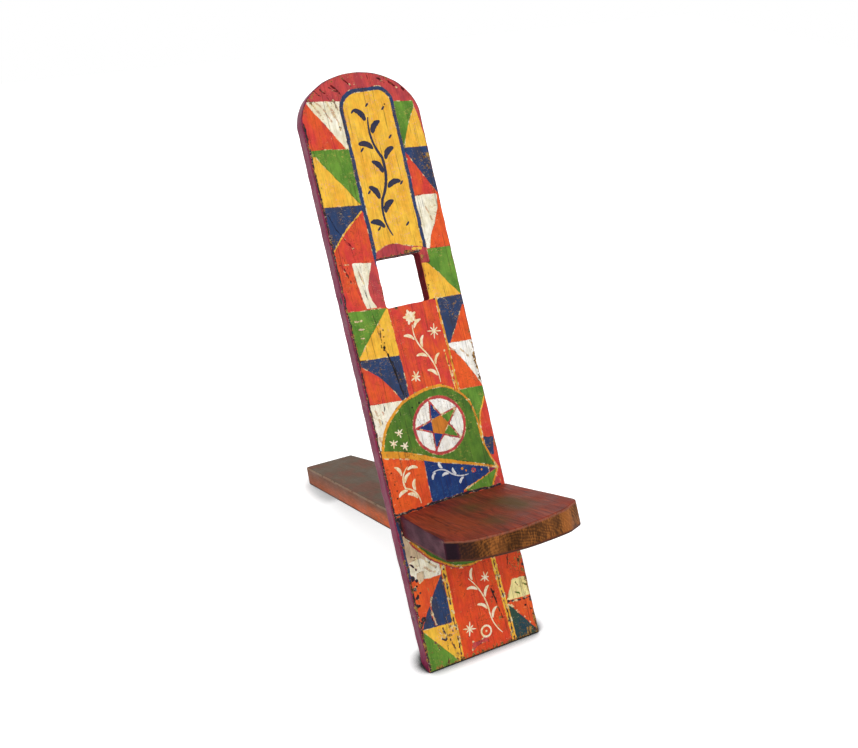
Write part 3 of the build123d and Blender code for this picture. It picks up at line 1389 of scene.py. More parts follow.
    def pits(self, places: Points, on_face: Points) -> Points:
        """Measures how far places are from the edge of the nearest black crack or hole.

        Args:
            places: the skin's places.
            on_face: which of them lie on the face.

        Returns:
            The distances, below zero inside.
        """
        flat, pit = places[on_face][:, :2], np.full(len(places), FAR)
        width = 0.5 + 0.7 * rough(flat, (16, 16), 44)
        gap = distance_to(flat, self.crack_path, False) - width
        for across, along, radius in (
            (-66, 736, 2.0), (-68, 722, 1.8), (-72, 699, 3.2), (-69, 709, 1.6),
            (-74, 694, 2.0), (-69, 729, 1.0),
            (-122, 436, 1.8), (-121, 424, 1.3), (-120, 410, 1.8), (-118, 396, 1.6),
            (-121, 380, 1.9), (-118, 364, 1.3), (-22, 566, 2.4), (-99, 538, 1.6),
            (-126, 168, 2.6), (-128, 146, 3.0), (-124, 188, 2.4), (-122, 118, 2.2),
            (70, 778, 2.2), (-24, 778, 3.0), (28, 779, 1.8), (-96, 756, 1.2),
            (58, 1213, 2.0), (-62, 935, 1.2), (-40, 560, 2.0), (68, 550, 1.8),
            (120, 70, 2.6), (132, 58, 2.2), (50, 122, 3.0), (44, 112, 2.0),
        ):
            gap = np.minimum(gap, np.linalg.norm(flat - (across, along), axis=1) - radius)
        for start, end, half in (
            ((-67, 682), (-52, 584), 1.5), ((-104, 583), (-104, 568), 1.0),
            ((-60, 668), (-56, 600), 0.8), ((-70, 752), (-78, 700), 0.7),
            ((71, 1270), (71, 1238), 0.8), ((-88, 770), (-77, 730), 0.5),
            ((-50, 600), (-30, 520), 0.5), ((-20, 545), (-6, 470), 0.4),
            ((-62, 1262), (-38, 1246), 0.9), ((-70, 1242), (-62, 1228), 0.7),
            ((100, 1258), (112, 1240), 0.9), ((30, 1284), (34, 1266), 0.5),
            ((-99, 1260), (-84, 1246), 1.0), ((-118, 905), (-96, 800), 0.4),
            ((-116, 560), (-116, 540), 0.6), ((-70, 560), (-70, 548), 0.5),
            ((44, 520), (46, 470), 0.4), ((60, 480), (88, 484), 0.5),
            ((-56, 200), (-92, 4), 0.5), ((46, 130), (58, 60), 1.2),
            ((110, 210), (96, 160), 0.9), ((10, 118), (30, 60), 0.4),
        ):
            line = strayed(np.array([start, end], float), 5.0, 1.6, int(end[1]))
            gap = np.minimum(gap, distance_to(flat, line, False) - half * (
                1 + 0.8 * rough(flat, (12, 12), 45)))
        pit[on_face] = np.clip(gap, -FAR, FAR)
        for along, depth, long, deep in (
            (815, -12, 8, 4.5), (118, -20, 5, 3), (236, -24, 4, 2.4), (1002, -25, 4, 2.2),
        ):
            knot = (places - (-self.width / 2, along, depth)) / (3, long, deep)
            pit = np.minimum(pit, (np.linalg.norm(knot, axis=1) - 1) * deep)
        return pit

    def wear(self, slab: Slab) -> Points:
        """Says how much more readily the paint flakes.

        Args:
            slab: the board's skin.

        Returns:
            A number for each place, above zero where it flakes more, and below where less.
        """
        v = slab.places[:, 1]
        wear = 0.10 * np.clip(1 - v / 70, 0, 1)
        wear += 0.05 * np.exp(-(((v - 150) / 120) ** 2))
        for across, along, reach_u, reach_v, amount in (
            (-112, 1236, 16, 14, 0.16), (122, 1085, 18, 30, 0.17), (-126, 1055, 9, 45, 0.15),
            (134, 620, 8, 50, 0.16), (-128, 160, 14, 45, 0.04), (48, 92, 12, 52, 0.13),
            (114, 150, 30, 60, 0.08), (-110, 205, 20, 16, 0.10), (-78, 60, 14, 50, 0.12),
            (-48, 988, 10, 26, 0.10), (-125, 500, 10, 40, 0.10), (0, 1275, 120, 12, 0.07),
            (60, 905, 16, 10, 0.12), (120, 20, 24, 24, 0.08), (104, 735, 16, 34, 0.11),
            (-60, 700, 14, 30, 0.07), (-124, 800, 8, 60, 0.08), (20, 1262, 60, 14, 0.05),
            (40, 891, 24, 4, 0.14),
        ):
            near = ((slab.places[:, 0] - across) / reach_u) ** 2 + ((v - along) / reach_v) ** 2
            wear += amount * np.exp(-near)
        wear -= 0.2 * (slab.rim_index >= self.OUTER)
        return wear - 0.10 * ((slab.edge < 0.8) & (slab.rim_index < self.OUTER))

    def mark(self, piece: bpy.types.Object, slab: Slab) -> None:
        """Stores what each paint covers, and where the board is cracked and worn.

        Args:
            piece: the board.
            slab: its skin.
        """
        on_face, on_back = slab.zones == Zone.FACE.value, slab.zones == Zone.BACK.value
        canvas = Canvas(slab.places[on_face][:, :2], Hue.RED, self.wobble, 31)
        self.paint(canvas)
        for hue in Hue:
            cover = np.full(len(slab.places), FAR)
            cover[on_face] = canvas.cover[hue]
            if hue is Hue.PLUM:
                cover[slab.rim_index == self.OUTER] = -FAR
                lap = self.outer_path(self.below_foot)
                cover[on_back] = rim_distance(slab.places[on_back][:, :2], lap, NEAR_RIM) + 5.0
                cover[on_back] *= -1
            if hue is Hue.MAROON:
                cover[slab.rim_index == self.HAND_HOLE] = -FAR
            if hue is not Hue.RED:
                tag(piece, hue.name.lower(), cover)
        seam = np.full(len(slab.places), FAR)
        seam[on_face] = canvas.seams()
        tag(piece, "seam", seam)
        tag(piece, "edge", slab.edge)
        tag(piece, "bare", on_back | (slab.rim_index == self.SLOT))
        tag(piece, "pit", self.pits(slab.places, on_face))
        tag(piece, "wear", self.wear(slab))

    def build(self, plank: Placement) -> bpy.types.Object:
        """Makes the board, paints it and ties it to its body.

        Args:
            plank: the seat plank's axes.

        Returns:
            The board.
        """
        slab = Slab(
            placement=self.placement,
            rims=[self.outer_rim(), self.hole_rim(), self.slot_rim(plank)],
            face_height=self.face_height,
            back_height=self.back_height,
            face_step=self.face_step,
            back_step=self.back_step,
            wall_rows=self.wall_rows,
            bands=[Band(self.crack_path, self.crack_rows, self.crack_step)],
        )
        piece = slab.build("painted_backboard")
        self.mark(piece, slab)
        piece.data.materials.append(PaintedWood().material(self.placement))
        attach(piece, "board")
        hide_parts("backboard")
        log.info("%s: %d faces", piece.name, len(piece.data.polygons))
        return piece


# ---- Brushwork ----
@dataclass(frozen=True)
class Stroke:
    """One pull of a loaded brush: a path on the board, and how broad its middle is."""

    path: Points
    breadth: float
    blunt: float = 0.35  # how broad its ends are, as a share of its middle

    def widths(self, seed: int) -> Points:
        """Says how broad the stroke is at each of its points.

        Args:
            seed: picks the way that its breadth varies.

        Returns:
            The breadths.
        """
        share = np.linspace(0, 1, len(self.path))
        swell = self.blunt + (1 - self.blunt) * np.sin(math.pi * share) ** 0.6
        return self.breadth * swell * (1 + 0.22 * rough(self.path, (5, 5), seed))


@dataclass(frozen=True)
class BrushPaint:
    """Thick paint that a brush left standing in ridges."""

    name: str
    main: str
    drift: str
    ground: str  # the paint under it, which shows through in streaks
    cover: float = 0.60  # below this much noise the ground doesn't show
    specular: float = 0.2
    roughness: float = 0.5
    relief: float = 0.3  # millimetres
    ridges: Lumps = Lumps((2.0, 9, 2.0), 3, 0.6, 21)
    clouds: Lumps = Lumps((8, 12, 8), seed=22)

    def material(self, placement: Placement) -> bpy.types.Material:
        """Makes the finish.

        Args:
            placement: the axes of the board under the paint.

        Returns:
            The material.
        """
        s = Shades(self.name, placement, self.specular)
        ridges = s.noise(self.ridges)
        colour = s.mix(s.ramp(s.noise(self.clouds), 0.38, 0.66), self.main, self.drift)
        colour = s.mix(s.ramp(ridges, self.cover, self.cover + 0.08), colour, self.ground)
        return s.finish(colour, self.roughness, ridges, self.relief)


@dataclass
class Brushwork:
    """Raised strokes of one paint, swept along their paths by a Geometry Nodes tree."""

    paint: BrushPaint
    strokes: list[Stroke]
    flatness: float = 0.13  # a stroke's thickness, as a share of its breadth
    lift: float = 0.12  # how far a stroke's middle stands off the board
    sides: int = 10

    def tree(self, placement: Placement, material: bpy.types.Material) -> bpy.types.NodeTree:
        """Writes the node tree, from paths in millimetres on the board to strokes in the frame.

        Args:
            placement: the board's axes.
            material: the strokes' finish.

        Returns:
            The tree.
        """
        tree = bpy.data.node_groups.new(f"{self.paint.name}_sweep", "GeometryNodeTree")
        sockets = tree.interface
        sockets.new_socket("Paths", in_out="INPUT", socket_type="NodeSocketGeometry")
        for name, kind, value in (
            ("Flatness", "NodeSocketFloat", self.flatness),
            ("Sides", "NodeSocketInt", self.sides),
            ("Place", "NodeSocketVector", placement.origin),
            ("Tilt", "NodeSocketFloat", math.radians(placement.tilt)),
        ):
            socket = sockets.new_socket(name, in_out="INPUT", socket_type=kind)
            socket.default_value = value
        sockets.new_socket("Strokes", in_out="OUTPUT", socket_type="NodeSocketGeometry")

        w = Wiring(tree)
        given = w.add("NodeGroupInput").outputs
        line = w.fed("GeometryNodeMeshToCurve", {0: given["Paths"]})
        upright = w.fed("GeometryNodeSetCurveNormal", {"Curve": line.outputs[0]}, mode="Z_UP")
        breadth = w.add("GeometryNodeInputNamedAttribute", data_type="FLOAT")
        breadth.inputs["Name"].default_value = "breadth"
        circle = w.fed("GeometryNodeCurvePrimitiveCircle", {"Resolution": given["Sides"]})
        flat = w.fed("ShaderNodeCombineXYZ", {"X": 1.0, "Y": given["Flatness"], "Z": 1.0})
        squash = w.fed("GeometryNodeTransform", {
            "Geometry": circle.outputs[0], "Scale": flat.outputs[0],
        })
        sweep = w.fed("GeometryNodeCurveToMesh", {
            "Curve": upright.outputs[0], "Profile Curve": squash.outputs[0],
            "Scale": breadth.outputs["Attribute"], "Fill Caps": True,
        })
        turn = w.fed("ShaderNodeCombineXYZ", {"X": given["Tilt"]})
        place = w.fed("GeometryNodeTransform", {
            "Geometry": sweep.outputs[0], "Translation": given["Place"],
            "Rotation": turn.outputs[0], "Scale": (MM, MM, MM),
        })
        whole = w.fed("GeometryNodeRealizeInstances", {0: place.outputs[0]})
        coat = w.fed("GeometryNodeSetMaterial", {
            "Geometry": whole.outputs[0], "Material": material,
        })
        w.fed("NodeGroupOutput", {0: coat.outputs[0]})
        return tree

    def build(self, board: "Backboard") -> bpy.types.Object:
        """Sweeps the strokes, and ties them to the board's body.

        Args:
            board: the board that they lie on.

        Returns:
            The strokes, as one object.
        """
        places, edges, widths = [], [], []
        for index, stroke in enumerate(self.strokes):
            first = sum(len(path) for path in places)
            flat = np.array(stroke.path)
            height = board.face_height(flat) + self.lift
            places.append(np.column_stack([flat, height]))
            edges += [(first + i, first + i + 1) for i in range(len(flat) - 1)]
            widths.append(stroke.widths(60 + index) / 2)
        name = self.paint.name
        mesh = bpy.data.meshes.new(f"{name}_paths")
        mesh.from_pydata(np.concatenate(places).tolist(), edges, [])
        layer = mesh.attributes.new("breadth", "FLOAT", "POINT")
        layer.data.foreach_set("value", np.concatenate(widths).astype(np.float32))
        source = added(f"{name}_paths", mesh)
        material = self.paint.material(board.placement)
        modifier = source.modifiers.new("sweep", "NODES")
        modifier.node_group = self.tree(board.placement, material)
        graph = bpy.context.evaluated_depsgraph_get()
        swept = bpy.data.meshes.new_from_object(source.evaluated_get(graph))
        bpy.data.objects.remove(source)
        swept.shade_smooth()
        swept.name = name
        piece = added(name, swept)
        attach(piece, "board")
        log.info("%s: %d faces", name, len(swept.polygons))
        return piece


def curved(*corners: Sequence[float], step: float = 1.6) -> Points:
    """Draws an open path of even short steps.

    Args:
        corners: the path's corners, as outline takes them.
        step: about how long a step is.

    Returns:
        The path's points.
    """
    path = outline(*corners)
    run = np.concatenate([[0], np.cumsum(np.linalg.norm(np.diff(path, axis=0), axis=1))])
    wanted = np.linspace(0, run[-1], max(3, round(run[-1] / step)))
    return np.stack([np.interp(wanted, run, path[:, axis]) for axis in (0, 1)], 1)


def star_strokes(middle: Sequence[float], reach: float, rays: int, breadth: float,
                 turn: float) -> list[Stroke]:
    """Draws a star of single pulls of the brush, outwards from its middle.

    Args:
        middle: its middle.
        reach: how long every other ray is, from the first on.
        rays: how many rays it has.
        breadth: how broad a ray is.
        turn: the first ray's direction, in degrees.

    Returns:
        The rays.
    """
    strokes = []
    for index in range(rays):
        angle = math.radians(turn + 360 * index / rays)
        long = reach * (1.0 if index % 2 == 0 else SHORT_RAY)
        toe = np.array(middle) + long * np.array([math.cos(angle), math.sin(angle)])
        heel = np.array(middle) * 1.12 - toe * 0.12
        strokes.append(Stroke(curved(tuple(heel), tuple(toe)), breadth))
    return strokes


def sprig(stem: Points, leaves: int, length: float, breadth: float,
          spread: float = 48.0) -> list[Stroke]:
    """Draws a stem with leaves on its two sides by turns.

    Args:
        stem: the stem's points.
        leaves: how many leaves it has.
        length: how long a leaf is.
        breadth: how broad a leaf is.
        spread: degrees between a leaf and the stem.

    Returns:
        The stem, and then its leaves.
    """
    strokes = [Stroke(stem, breadth * 0.5)]
    for index in range(leaves):
        at = int((index + 0.6) / leaves * (len(stem) - 2))
        ahead = unit(stem[at + 1] - stem[at])
        side = 1 if index % 2 == 0 else -1
        turn = math.radians(side * spread)
        cos, sin = math.cos(turn), math.sin(turn)
        away = np.array([ahead[0] * cos - ahead[1] * sin, ahead[0] * sin + ahead[1] * cos])
        heel, toe = stem[at] + away * breadth * 0.7, stem[at] + away * length
        bow = -side * length * LEAF_BOW
        strokes.append(Stroke(curved((*heel, bow), tuple(toe)), breadth, 0.2))
    return strokes


def dot(middle: Sequence[float], breadth: float) -> Stroke:
    """Draws one dab."""
    u, v = middle
    return Stroke(curved((u - 1.5, v + 1.5), (u + 1.5, v - 1.5), step=1.0), breadth, 0.5)


def ornaments() -> list[Brushwork]:
    """Draws the leaves, stars and dots that fill the painted panels.

    Returns:
        The brushwork in each paint.
    """
    ink = sprig(curved((8, 930, 8), (2, 1010, -9), (24, 1100, 9), (12, 1190)), 9, 43, 13)
    ink += [dot(place, 12) for place in (
        (16, 1216), (52, 1205), (-20, 1206), (54, 1142), (-18, 1122), (56, 1040), (-24, 1030),
        (48, 950), (-20, 950),
    )]
    cream = sprig(curved((40, 598, -7), (16, 676, 6), (4, 734)), 6, 31, 7.0)
    cream += star_strokes((3, 751), 17, 10, 7.0, 30) + [dot((3, 751), 8)]
    for star in (
        ((52, 710), 17, 8, 3.0, 80), ((-15, 622), 14, 7, 3.4, 100),
        ((-83, 514), 11, 6, 3.2, -83), ((-101, 495), 11, 6, 3.2, -101),
        ((-77, 484), 11, 6, 3.2, -77), ((38, 159), 13, 7, 3.0, 95), ((-26, 62), 16, 8, 3.2, 75),
    ):
        cream += star_strokes(*star)
    cream += [Stroke(curved(*[(*place, 0) for place in ring((12, 45), 12, 16)], (24, 45)),
                     4.4, 0.9), dot((12, 45), 6)]
    stem, _, *leaves = sprig(curved((50, 30, 6), (30, 88, -7), (-2, 168)), 6, 31, 6.6)
    cream += [stem, *leaves]
    cream += sprig(curved((-70, 356, -9), (-98, 396, 8), (-82, 440)), 6, 30, 7.6)
    pale = sprig(curved((56, 388, 6), (10, 404, -6), (-28, 412)), 5, 21, 6.6)
    return [
        Brushwork(BrushPaint("ink_brushwork", "#252a45", "#332f40", "#5a4a44", 0.66), ink),
        Brushwork(BrushPaint("cream_brushwork", "#f8ecd0", "#ecd09a", "#dd8a4a"), cream),
        Brushwork(BrushPaint("pale_brushwork", "#e6e6e6", "#c9cad2", "#6a7590"), pale),
    ]


# ---- Seat plank ----
@dataclass(frozen=True)
class StainedWood:
    """Dark red-brown stain on a hewn plank, worn through to golden end grain."""

    name: str = "stained_wood"
    stain: str = "#7a3526"
    stain_red: str = "#8c3a2a"
    stain_dark: str = "#43201a"
    stain_bright: str = "#a1452c"
    stain_warm: str = "#9a4a26"
    olive: str = "#5e4526"
    end: str = "#935929"
    end_dark: str = "#523118"
    end_bright: str = "#b56c33"
    plum: str = "#532132"
    plum_dark: str = "#3d1826"
    # painted shade: near black for the seat's front-left facet, which lies in shade
    painted_facet_shade: str = "#1b0f18"
    tail: str = "#58432c"
    tail_rosy: str = "#6f4938"
    side: str = "#a35c3a"
    side_dark: str = "#7a4f39"
    # painted light: the orange glow low on the tail's sides beside the board
    side_bright: str = "#e0622a"
    under: str = "#4c3022"
    # pale colour of the tail's worn rims, also used as a painted highlight on the seat's front rim
    rubbed_and_highlit: str = "#a98a70"
    pore: str = "#1d0e0a"
    gouge: str = "#2a130d"
    specular: float = 0.06
    relief: float = 0.35  # millimetres

    fibre: Lumps = Lumps((1.9, 60, 1.9), 4, 0.62, 1, 0.5)
    figure: Lumps = Lumps((13, 120, 13), 4, 0.55, 2, 1.4)
    blotch: Lumps = Lumps((38, 60, 38), 3, 0.55, 3)
    # breaks up the tail's worn rims and the painted highlight on the seat's front rim
    rubbing: Lumps = Lumps((9, 20, 9), 3, 0.6, 4)
    end_strokes: Lumps = Lumps((5.5, 14, 26), 2.4, 0.5, 5, 1.5)
    pores: Lumps = Lumps((1.0, 13, 1.0), seed=6)
    side_light: Lumps = Lumps((16, 34, 16), 3, 0.6, 7)
    end_cloud: Lumps = Lumps((26, 40, 20), 3, 0.6, 8)
    heart: Trio = (-30.0, 0.0, -150.0)
    ring_spacing: float = 6.0
    ring_stray: float = 9.0

    def material(self, placement: Placement) -> bpy.types.Material:
        """Makes the finish for a plank that holds its zones' shares.

        Args:
            placement: the plank's axes.

        Returns:
            The material.
        """
        s = Shades(self.name, placement, self.specular)
        flow = s.fed("ShaderNodeCombineXYZ", {"X": s.tagged("flow")}).outputs[0]
        swirl = s.fed("ShaderNodeVectorMath", {0: s.at, 1: flow}, operation="ADD")
        s.at = swirl.outputs[0]
        fibre, figure, blotch = (s.noise(each) for each in (self.fibre, self.figure, self.blotch))
        ragged = s.times(s.less(fibre, 0.5), 2.0)

        tail = s.mix(s.ramp(blotch, 0.42, 0.64), self.tail, self.tail_rosy)
        colour = s.mix(s.tagged("end"), self.top(s, figure, blotch), self.end_grain(s))
        colour = s.mix(s.tagged("tail"), colour, tail)
        colour = s.mix(s.tagged("side"), colour, self.tail_side(s))
        colour = s.mix(s.tagged("under"), colour, self.under)
        coat = s.mix(s.ramp(blotch, 0.35, 0.65), self.plum, self.plum_dark)
        plum = s.ramp(s.plus(s.tagged("plum"), ragged), 0.8, -0.8)
        colour = s.mix(plum, colour, coat)
        # painted shade: darkens the seat's front-left facet
        colour = s.mix(s.tagged("painted_facet_shade"), colour, self.painted_facet_shade)
        colour = s.shade(colour, s.ramp(fibre, 0.25, 0.75, 0.74, 1.2))
        colour = self.marks(s, colour, ragged)

        roughness = s.ramp(blotch, 0.3, 0.7, 0.46, 0.62)
        return s.finish(colour, roughness, s.plus(fibre, figure), self.relief)

    def top(self, s: Shades, figure: object, blotch: object) -> Socket:
        """Stains the seat's top.

        Args:
            s: the material.
            figure: the wood's broad figure, from 0 to 1.
            blotch: where the stain took more or less, from 0 to 1.

        Returns:
            The colour.
        """
        top = s.mix(s.ramp(blotch, 0.4, 0.62), self.stain, self.stain_red)
        top = s.mix(s.ramp(s.tagged("burnish"), 0.2, 1.0, 0.0, 0.6), top, self.stain_warm)
        top = s.mix(s.ramp(figure, 0.48, 0.72, 0.0, 0.7), top, self.stain_dark)
        top = s.mix(s.ramp(figure, 0.46, 0.34, 0.0, 0.8), top, self.stain_bright)
        patches = s.times(s.tagged("olive"), s.ramp(blotch, 0.3, 0.6, 0.6, 1.0))
        return s.mix(patches, top, self.olive)

    def end_grain(self, s: Shades) -> Socket:
        """Draws the rubbed end grain of the seat's front.

        Args:
            s: the material.

        Returns:
            The colour.
        """
        rings = s.rings(self.heart, self.ring_spacing, self.ring_stray)
        strokes = s.plus(s.times(rings, 0.12), s.times(s.noise(self.end_strokes), 0.88))
        end = s.mix(s.ramp(strokes, 0.38, 0.62), self.end_dark, self.end)
        cloud = s.ramp(s.noise(self.end_cloud), 0.48, 0.62, 0.0, 0.6)
        end = s.mix(cloud, end, self.end_dark)
        end = s.mix(s.ramp(s.tagged("amber"), 0.7, 1.0, 0.0, 0.5), end, self.end_bright)
        return s.shade(end, s.ramp(s.tagged("amber"), 0.0, 0.8, 0.56, 1.08))

    def tail_side(self, s: Shades) -> Socket:
        """Colours the tail's sides, with a painted glow of light low down beside the board.

        Args:
            s: the material.

        Returns:
            The colour.
        """
        bright = s.tagged("bright")
        side = s.mix(s.ramp(bright, 0.0, 0.5), self.side_dark, self.side)
        # painted light: patches of glow on the tail's sides
        lit = s.ramp(s.noise(self.side_light), 0.36, 0.56, 0.25, 1.0)
        return s.mix(s.times(bright, lit), side, self.side_bright)

    def marks(self, s: Shades, colour: object, ragged: object) -> Socket:
        """Adds the open pores, the worn pale rims of the tail, a painted highlight along the seat's front
        rim, and the gouges.

        Args:
            s: the material.
            colour: the colour so far.
            ragged: how far an edge strays with the fibres, in millimetres.

        Returns:
            The colour.
        """
        pores = s.ramp(s.noise(self.pores), 0.62, 0.7)
        colour = s.mix(s.times(pores, 0.2), colour, self.pore)
        # worn rims on the tail, and a painted highlight along the seat's front top rim
        rubbed_and_highlit = s.times(s.tagged("rubbed_and_highlit"), s.ramp(s.noise(self.rubbing), 0.3, 0.5))
        colour = s.mix(s.times(rubbed_and_highlit, 0.6), colour, self.rubbed_and_highlit)
        gouge = s.ramp(s.plus(s.tagged("gouge"), ragged), 1.0, -0.2)
        return s.mix(s.times(gouge, 0.75), colour, self.gouge)


@dataclass
class SeatPlank:
    """The wedge-shaped seat and its shouldered tail, which props the board from behind."""

    slope: float = 20.3
    seam: Trio = (-7.0, -187.556, 304.0)  # in the frame

    tail_step: float = 12.5  # the tail's top lies this far below the seat's
    step_at: float = -1.95  # where the step is drawn, ahead of the board's face
    lip: float = 1.5  # the rounding of the seat's top at the step
    tail_thickness: float = 49.0
    tail_length: float = 717.5
    tail_half: float = 108.0
    tail_taper: float = 0.05645
    tail_offset: float = -4.0
    ramp_run: float = 120.0
    ramp_rise: float = 18.5

    crown: float = 4.0  # how far the seat's top swells beside the board
    rim_radius: float = 3.0
    face_step: float = 3.4
    back_step: float = 5.0
    wall_rows: int = 12
    hewing: float = 0.6
    ripple: float = 0.2

    knot: Pair = (-4.0, -177.0)
    olive_patches: tuple[Trio, ...] = (
        (27, -6, 26), (-5, -95, 34), (70, -114, 30), (70, -175, 34), (-15, -216, 28),
    )

    @property
    def placement(self) -> Placement:
        """The plank's axes: its origin is on the seat's top, at the board's face."""
        return Placement(tuple(place * MM for place in self.seam), -self.slope)

    def tail_side(self, side: int, along: float) -> Trio:
        """A corner on the tail's side."""
        half = self.tail_half - self.tail_taper * along
        return (self.tail_offset + side * half, along, 0)

    def rim(self) -> Rim:
        """Draws the plank's outline, anticlockwise, on its face and on its underside.

        Returns:
            The rim.
        """
        paths = []
        for shoulder, tail, flare_out in ((-0.4, self.step_at, 0), (-7.0, -6.5, 5)):
            flare = shoulder * 0.083
            paths.append(rounded(
                (-147, -241, 3), (-110, -283, 60), (1, -306, 300),
                (112 + flare_out, -279 - flare_out / 2, 60),
                (163 + flare_out, -248, 22 + 1.4 * flare_out), (140.5 - flare, shoulder, 0),
                self.tail_side(1, shoulder),
                self.tail_side(1, tail), (*self.tail_side(1, self.tail_length)[:2], 6),
                (*self.tail_side(-1, self.tail_length)[:2], 6), self.tail_side(-1, tail),
                self.tail_side(-1, shoulder), (-126.5 + flare, shoulder, 0),
            ))
        face, back = paths
        return Rim(spaced(face, 3.6), spaced(back, 3.6, face), self.rim_radius)

    def face_height(self, points: Points) -> Points:
        """Reads the top's relief: the swell by the board, the tail's step, waves and gouges.

        Args:
            points: places on the plank.

        Returns:
            Their heights.
        """
        x, y = points.T
        waves = self.hewing * rough(points, (55, 110), 51)
        waves += self.ripple * rough(points, (9, 45), 52)
        swell = self.crown * np.exp(-(((x - 5) / 70) ** 2)) * np.exp(-((y / 60) ** 2))
        behind = y - self.step_at
        lip = np.clip(-behind, 0, self.lip)
        lip = self.lip - np.sqrt(self.lip**2 - (self.lip - lip) ** 2)
        within = np.abs(x - self.tail_offset) < self.tail_half + 1.2
        seat = waves + swell - np.where(within, lip, 0)
        tail = 0.7 * waves - self.tail_step - 0.4
        dent = 0.9 * np.exp(-((self.gouges(points) / 1.6) ** 2))
        return np.where(behind > 0.1, tail, seat - dent)

    def gouges(self, points: Points) -> Points:
        """Measures how far points are from the nearest gouge in the seat's top.

        Args:
            points: places on the plank.

        Returns:
            The distances.
        """
        return np.min([distance_to(points, mark, False) for mark in (
            outline((-116, -224, 4), (-86, -214)), outline((-108, -211), (-110, -231)),
            outline((-70, -217, 3), (-35, -207)), outline((20, -160, 3), (54, -152)),
        )], axis=0)

    def back_height(self, points: Points) -> Points:
        """Reads the underside's relief: a hewn wedge, the tail's ramp, the tail and its heel.

        Args:
            points: places on the plank.

        Returns:
            Their heights.
        """
        x, y = points.T
        wedge = -54.5 - 0.0357 * x - 0.0257 * y
        tail_foot = -self.tail_step - self.tail_thickness
        ramp = tail_foot - y * self.ramp_rise / self.ramp_run
        half = self.tail_half - self.tail_taper * y
        within = np.abs(x - self.tail_offset) < half
        seat = np.where(within, np.minimum(wedge, ramp), wedge)
        sin, cos = math.sin(math.radians(self.slope)), math.cos(math.radians(self.slope))
        floor = -(self.seam[2] - sin * y) / cos
        waves = 0.5 * rough(points, (55, 90), 53)
        tail = np.maximum(tail_foot + waves * (y < 660), floor)
        return np.where(y > -6.9, tail, seat + waves)

    def build(self) -> bpy.types.Object:
        """Makes the plank and ties it to its body.

        Returns:
            The plank.
        """
        step = np.array([self.tail_side(side, self.step_at)[:2] for side in (1, -1)])
        ramp_sides = [
            np.array([self.tail_side(side, -80)[:2], self.tail_side(side, -8)[:2]])
            for side in (-1, 1)
        ]
        slab = Slab(
            placement=self.placement,
            rims=[self.rim()],
            face_height=self.face_height,
            back_height=self.back_height,
            face_step=self.face_step,
            back_step=self.back_step,
            wall_rows=self.wall_rows,
            bands=[Band(step, (-1.5, -0.8, -0.3, -0.02, 0.12), 3.4),
                   *[Band(side, (-0.2, 0.2), 4.0, Zone.BACK) for side in ramp_sides]],
        )
        piece = slab.build("stained_seat_plank")
        self.mark(piece, slab)
        piece.data.materials.append(StainedWood().material(self.placement))
        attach(piece, "plank")
        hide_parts("seat_plank")
        log.info("%s: %d faces", piece.name, len(piece.data.polygons))
        return piece

    def mark(self, piece: bpy.types.Object, slab: Slab) -> None:
        """Stores where each finish lies.

        Args:
            piece: the plank.
            slab: its skin.
        """
        x, y, z = slab.places.T
        wall, face = slab.zones == Zone.WALL.value, slab.zones == Zone.FACE.value
        seat, behind = y < -1.0, y >= -1.0
        flat = slab.places[:, :2]
        lap = np.array([
            (-126, 30), (-123, 2), (-122, -13), (-126, -31), (-128, -47), (-131, -80),
            (-134, -111), (-138, -145), (-139, -170), (-143, -236), (-160, -300), (-200, 30),
        ], float)
        plum = np.clip(distance_to(flat, lap, True), -FAR, FAR)
        plum = np.where(wall & seat, (x + 127) / 3, plum)
        plum = np.where(behind | (slab.zones == Zone.BACK.value), FAR, plum)
        away_x, away_y = x - self.knot[0], y - self.knot[1]
        flow = 0.75 * away_x * np.exp(-((away_x / 24) ** 2) - (away_y / 34) ** 2)
        olive = sum(
            np.exp(-((x - u) / r) ** 2 - ((y - v) / (1.3 * r)) ** 2)
            for u, v, r in self.olive_patches
        )
        front = (y + 205) / -30 + np.where(x > 0, 0.4, 0.0)
        tag(piece, "flow", flow)
        tag(piece, "olive", np.clip(olive, 0, 1) * (face & seat))
        warm = np.exp(-(((x + 80) / 60) ** 2)) * np.exp(-(((y + 150) / 130) ** 2))
        tag(piece, "burnish", warm * (face & seat))
        tag(piece, "end", np.clip(front, 0, 1) * (wall & seat))
        tag(piece, "plum", plum)
        tag(piece, "amber", np.interp(
            x, [-110, -86, -76, -46, -38, -16, -8, 24, 28, 31, 38, 66, 86, 104, 122, 134],
            [0.2, 0.3, 0.8, 0.8, 0.1, 0.1, 0.45, 0.5, 0.0, 0.0, 0.7, 0.8, 0.6, 1.0, 1.0, 0.6]))
        # painted shade on the seat's front-left facet, fading out towards the right
        fade = np.interp(x, [-131, -127, -110, -100, -86], [0.95, 0.7, 0.55, 0.25, 0.0])
        tag(piece, "painted_facet_shade", np.clip((-240 - y) / 3, 0, 1) * fade * wall)
        tag(piece, "tail", face & behind)
        tag(piece, "side", wall & behind)
        # painted light: the tail's sides glow brighter low down, most beside the board
        glow = np.interp(y, [0, 220, 420, 700], [1.0, 0.7, 0.35, 0.18])
        tag(piece, "bright", np.clip((-z - 22) / 26, 0, 1) * glow)
        tag(piece, "under", slab.zones == Zone.BACK.value)
        # worn pale rims on the tail, and a painted highlight along the seat's front top rim
        tag(piece, "rubbed_and_highlit", np.where(behind, 1.0, 0.36) * (
            (slab.edge < np.where(behind, 1.3, 0.5)) & face & ((y < -230) | behind)))
        tag(piece, "gouge", np.where(face & seat, self.gouges(flat), FAR))


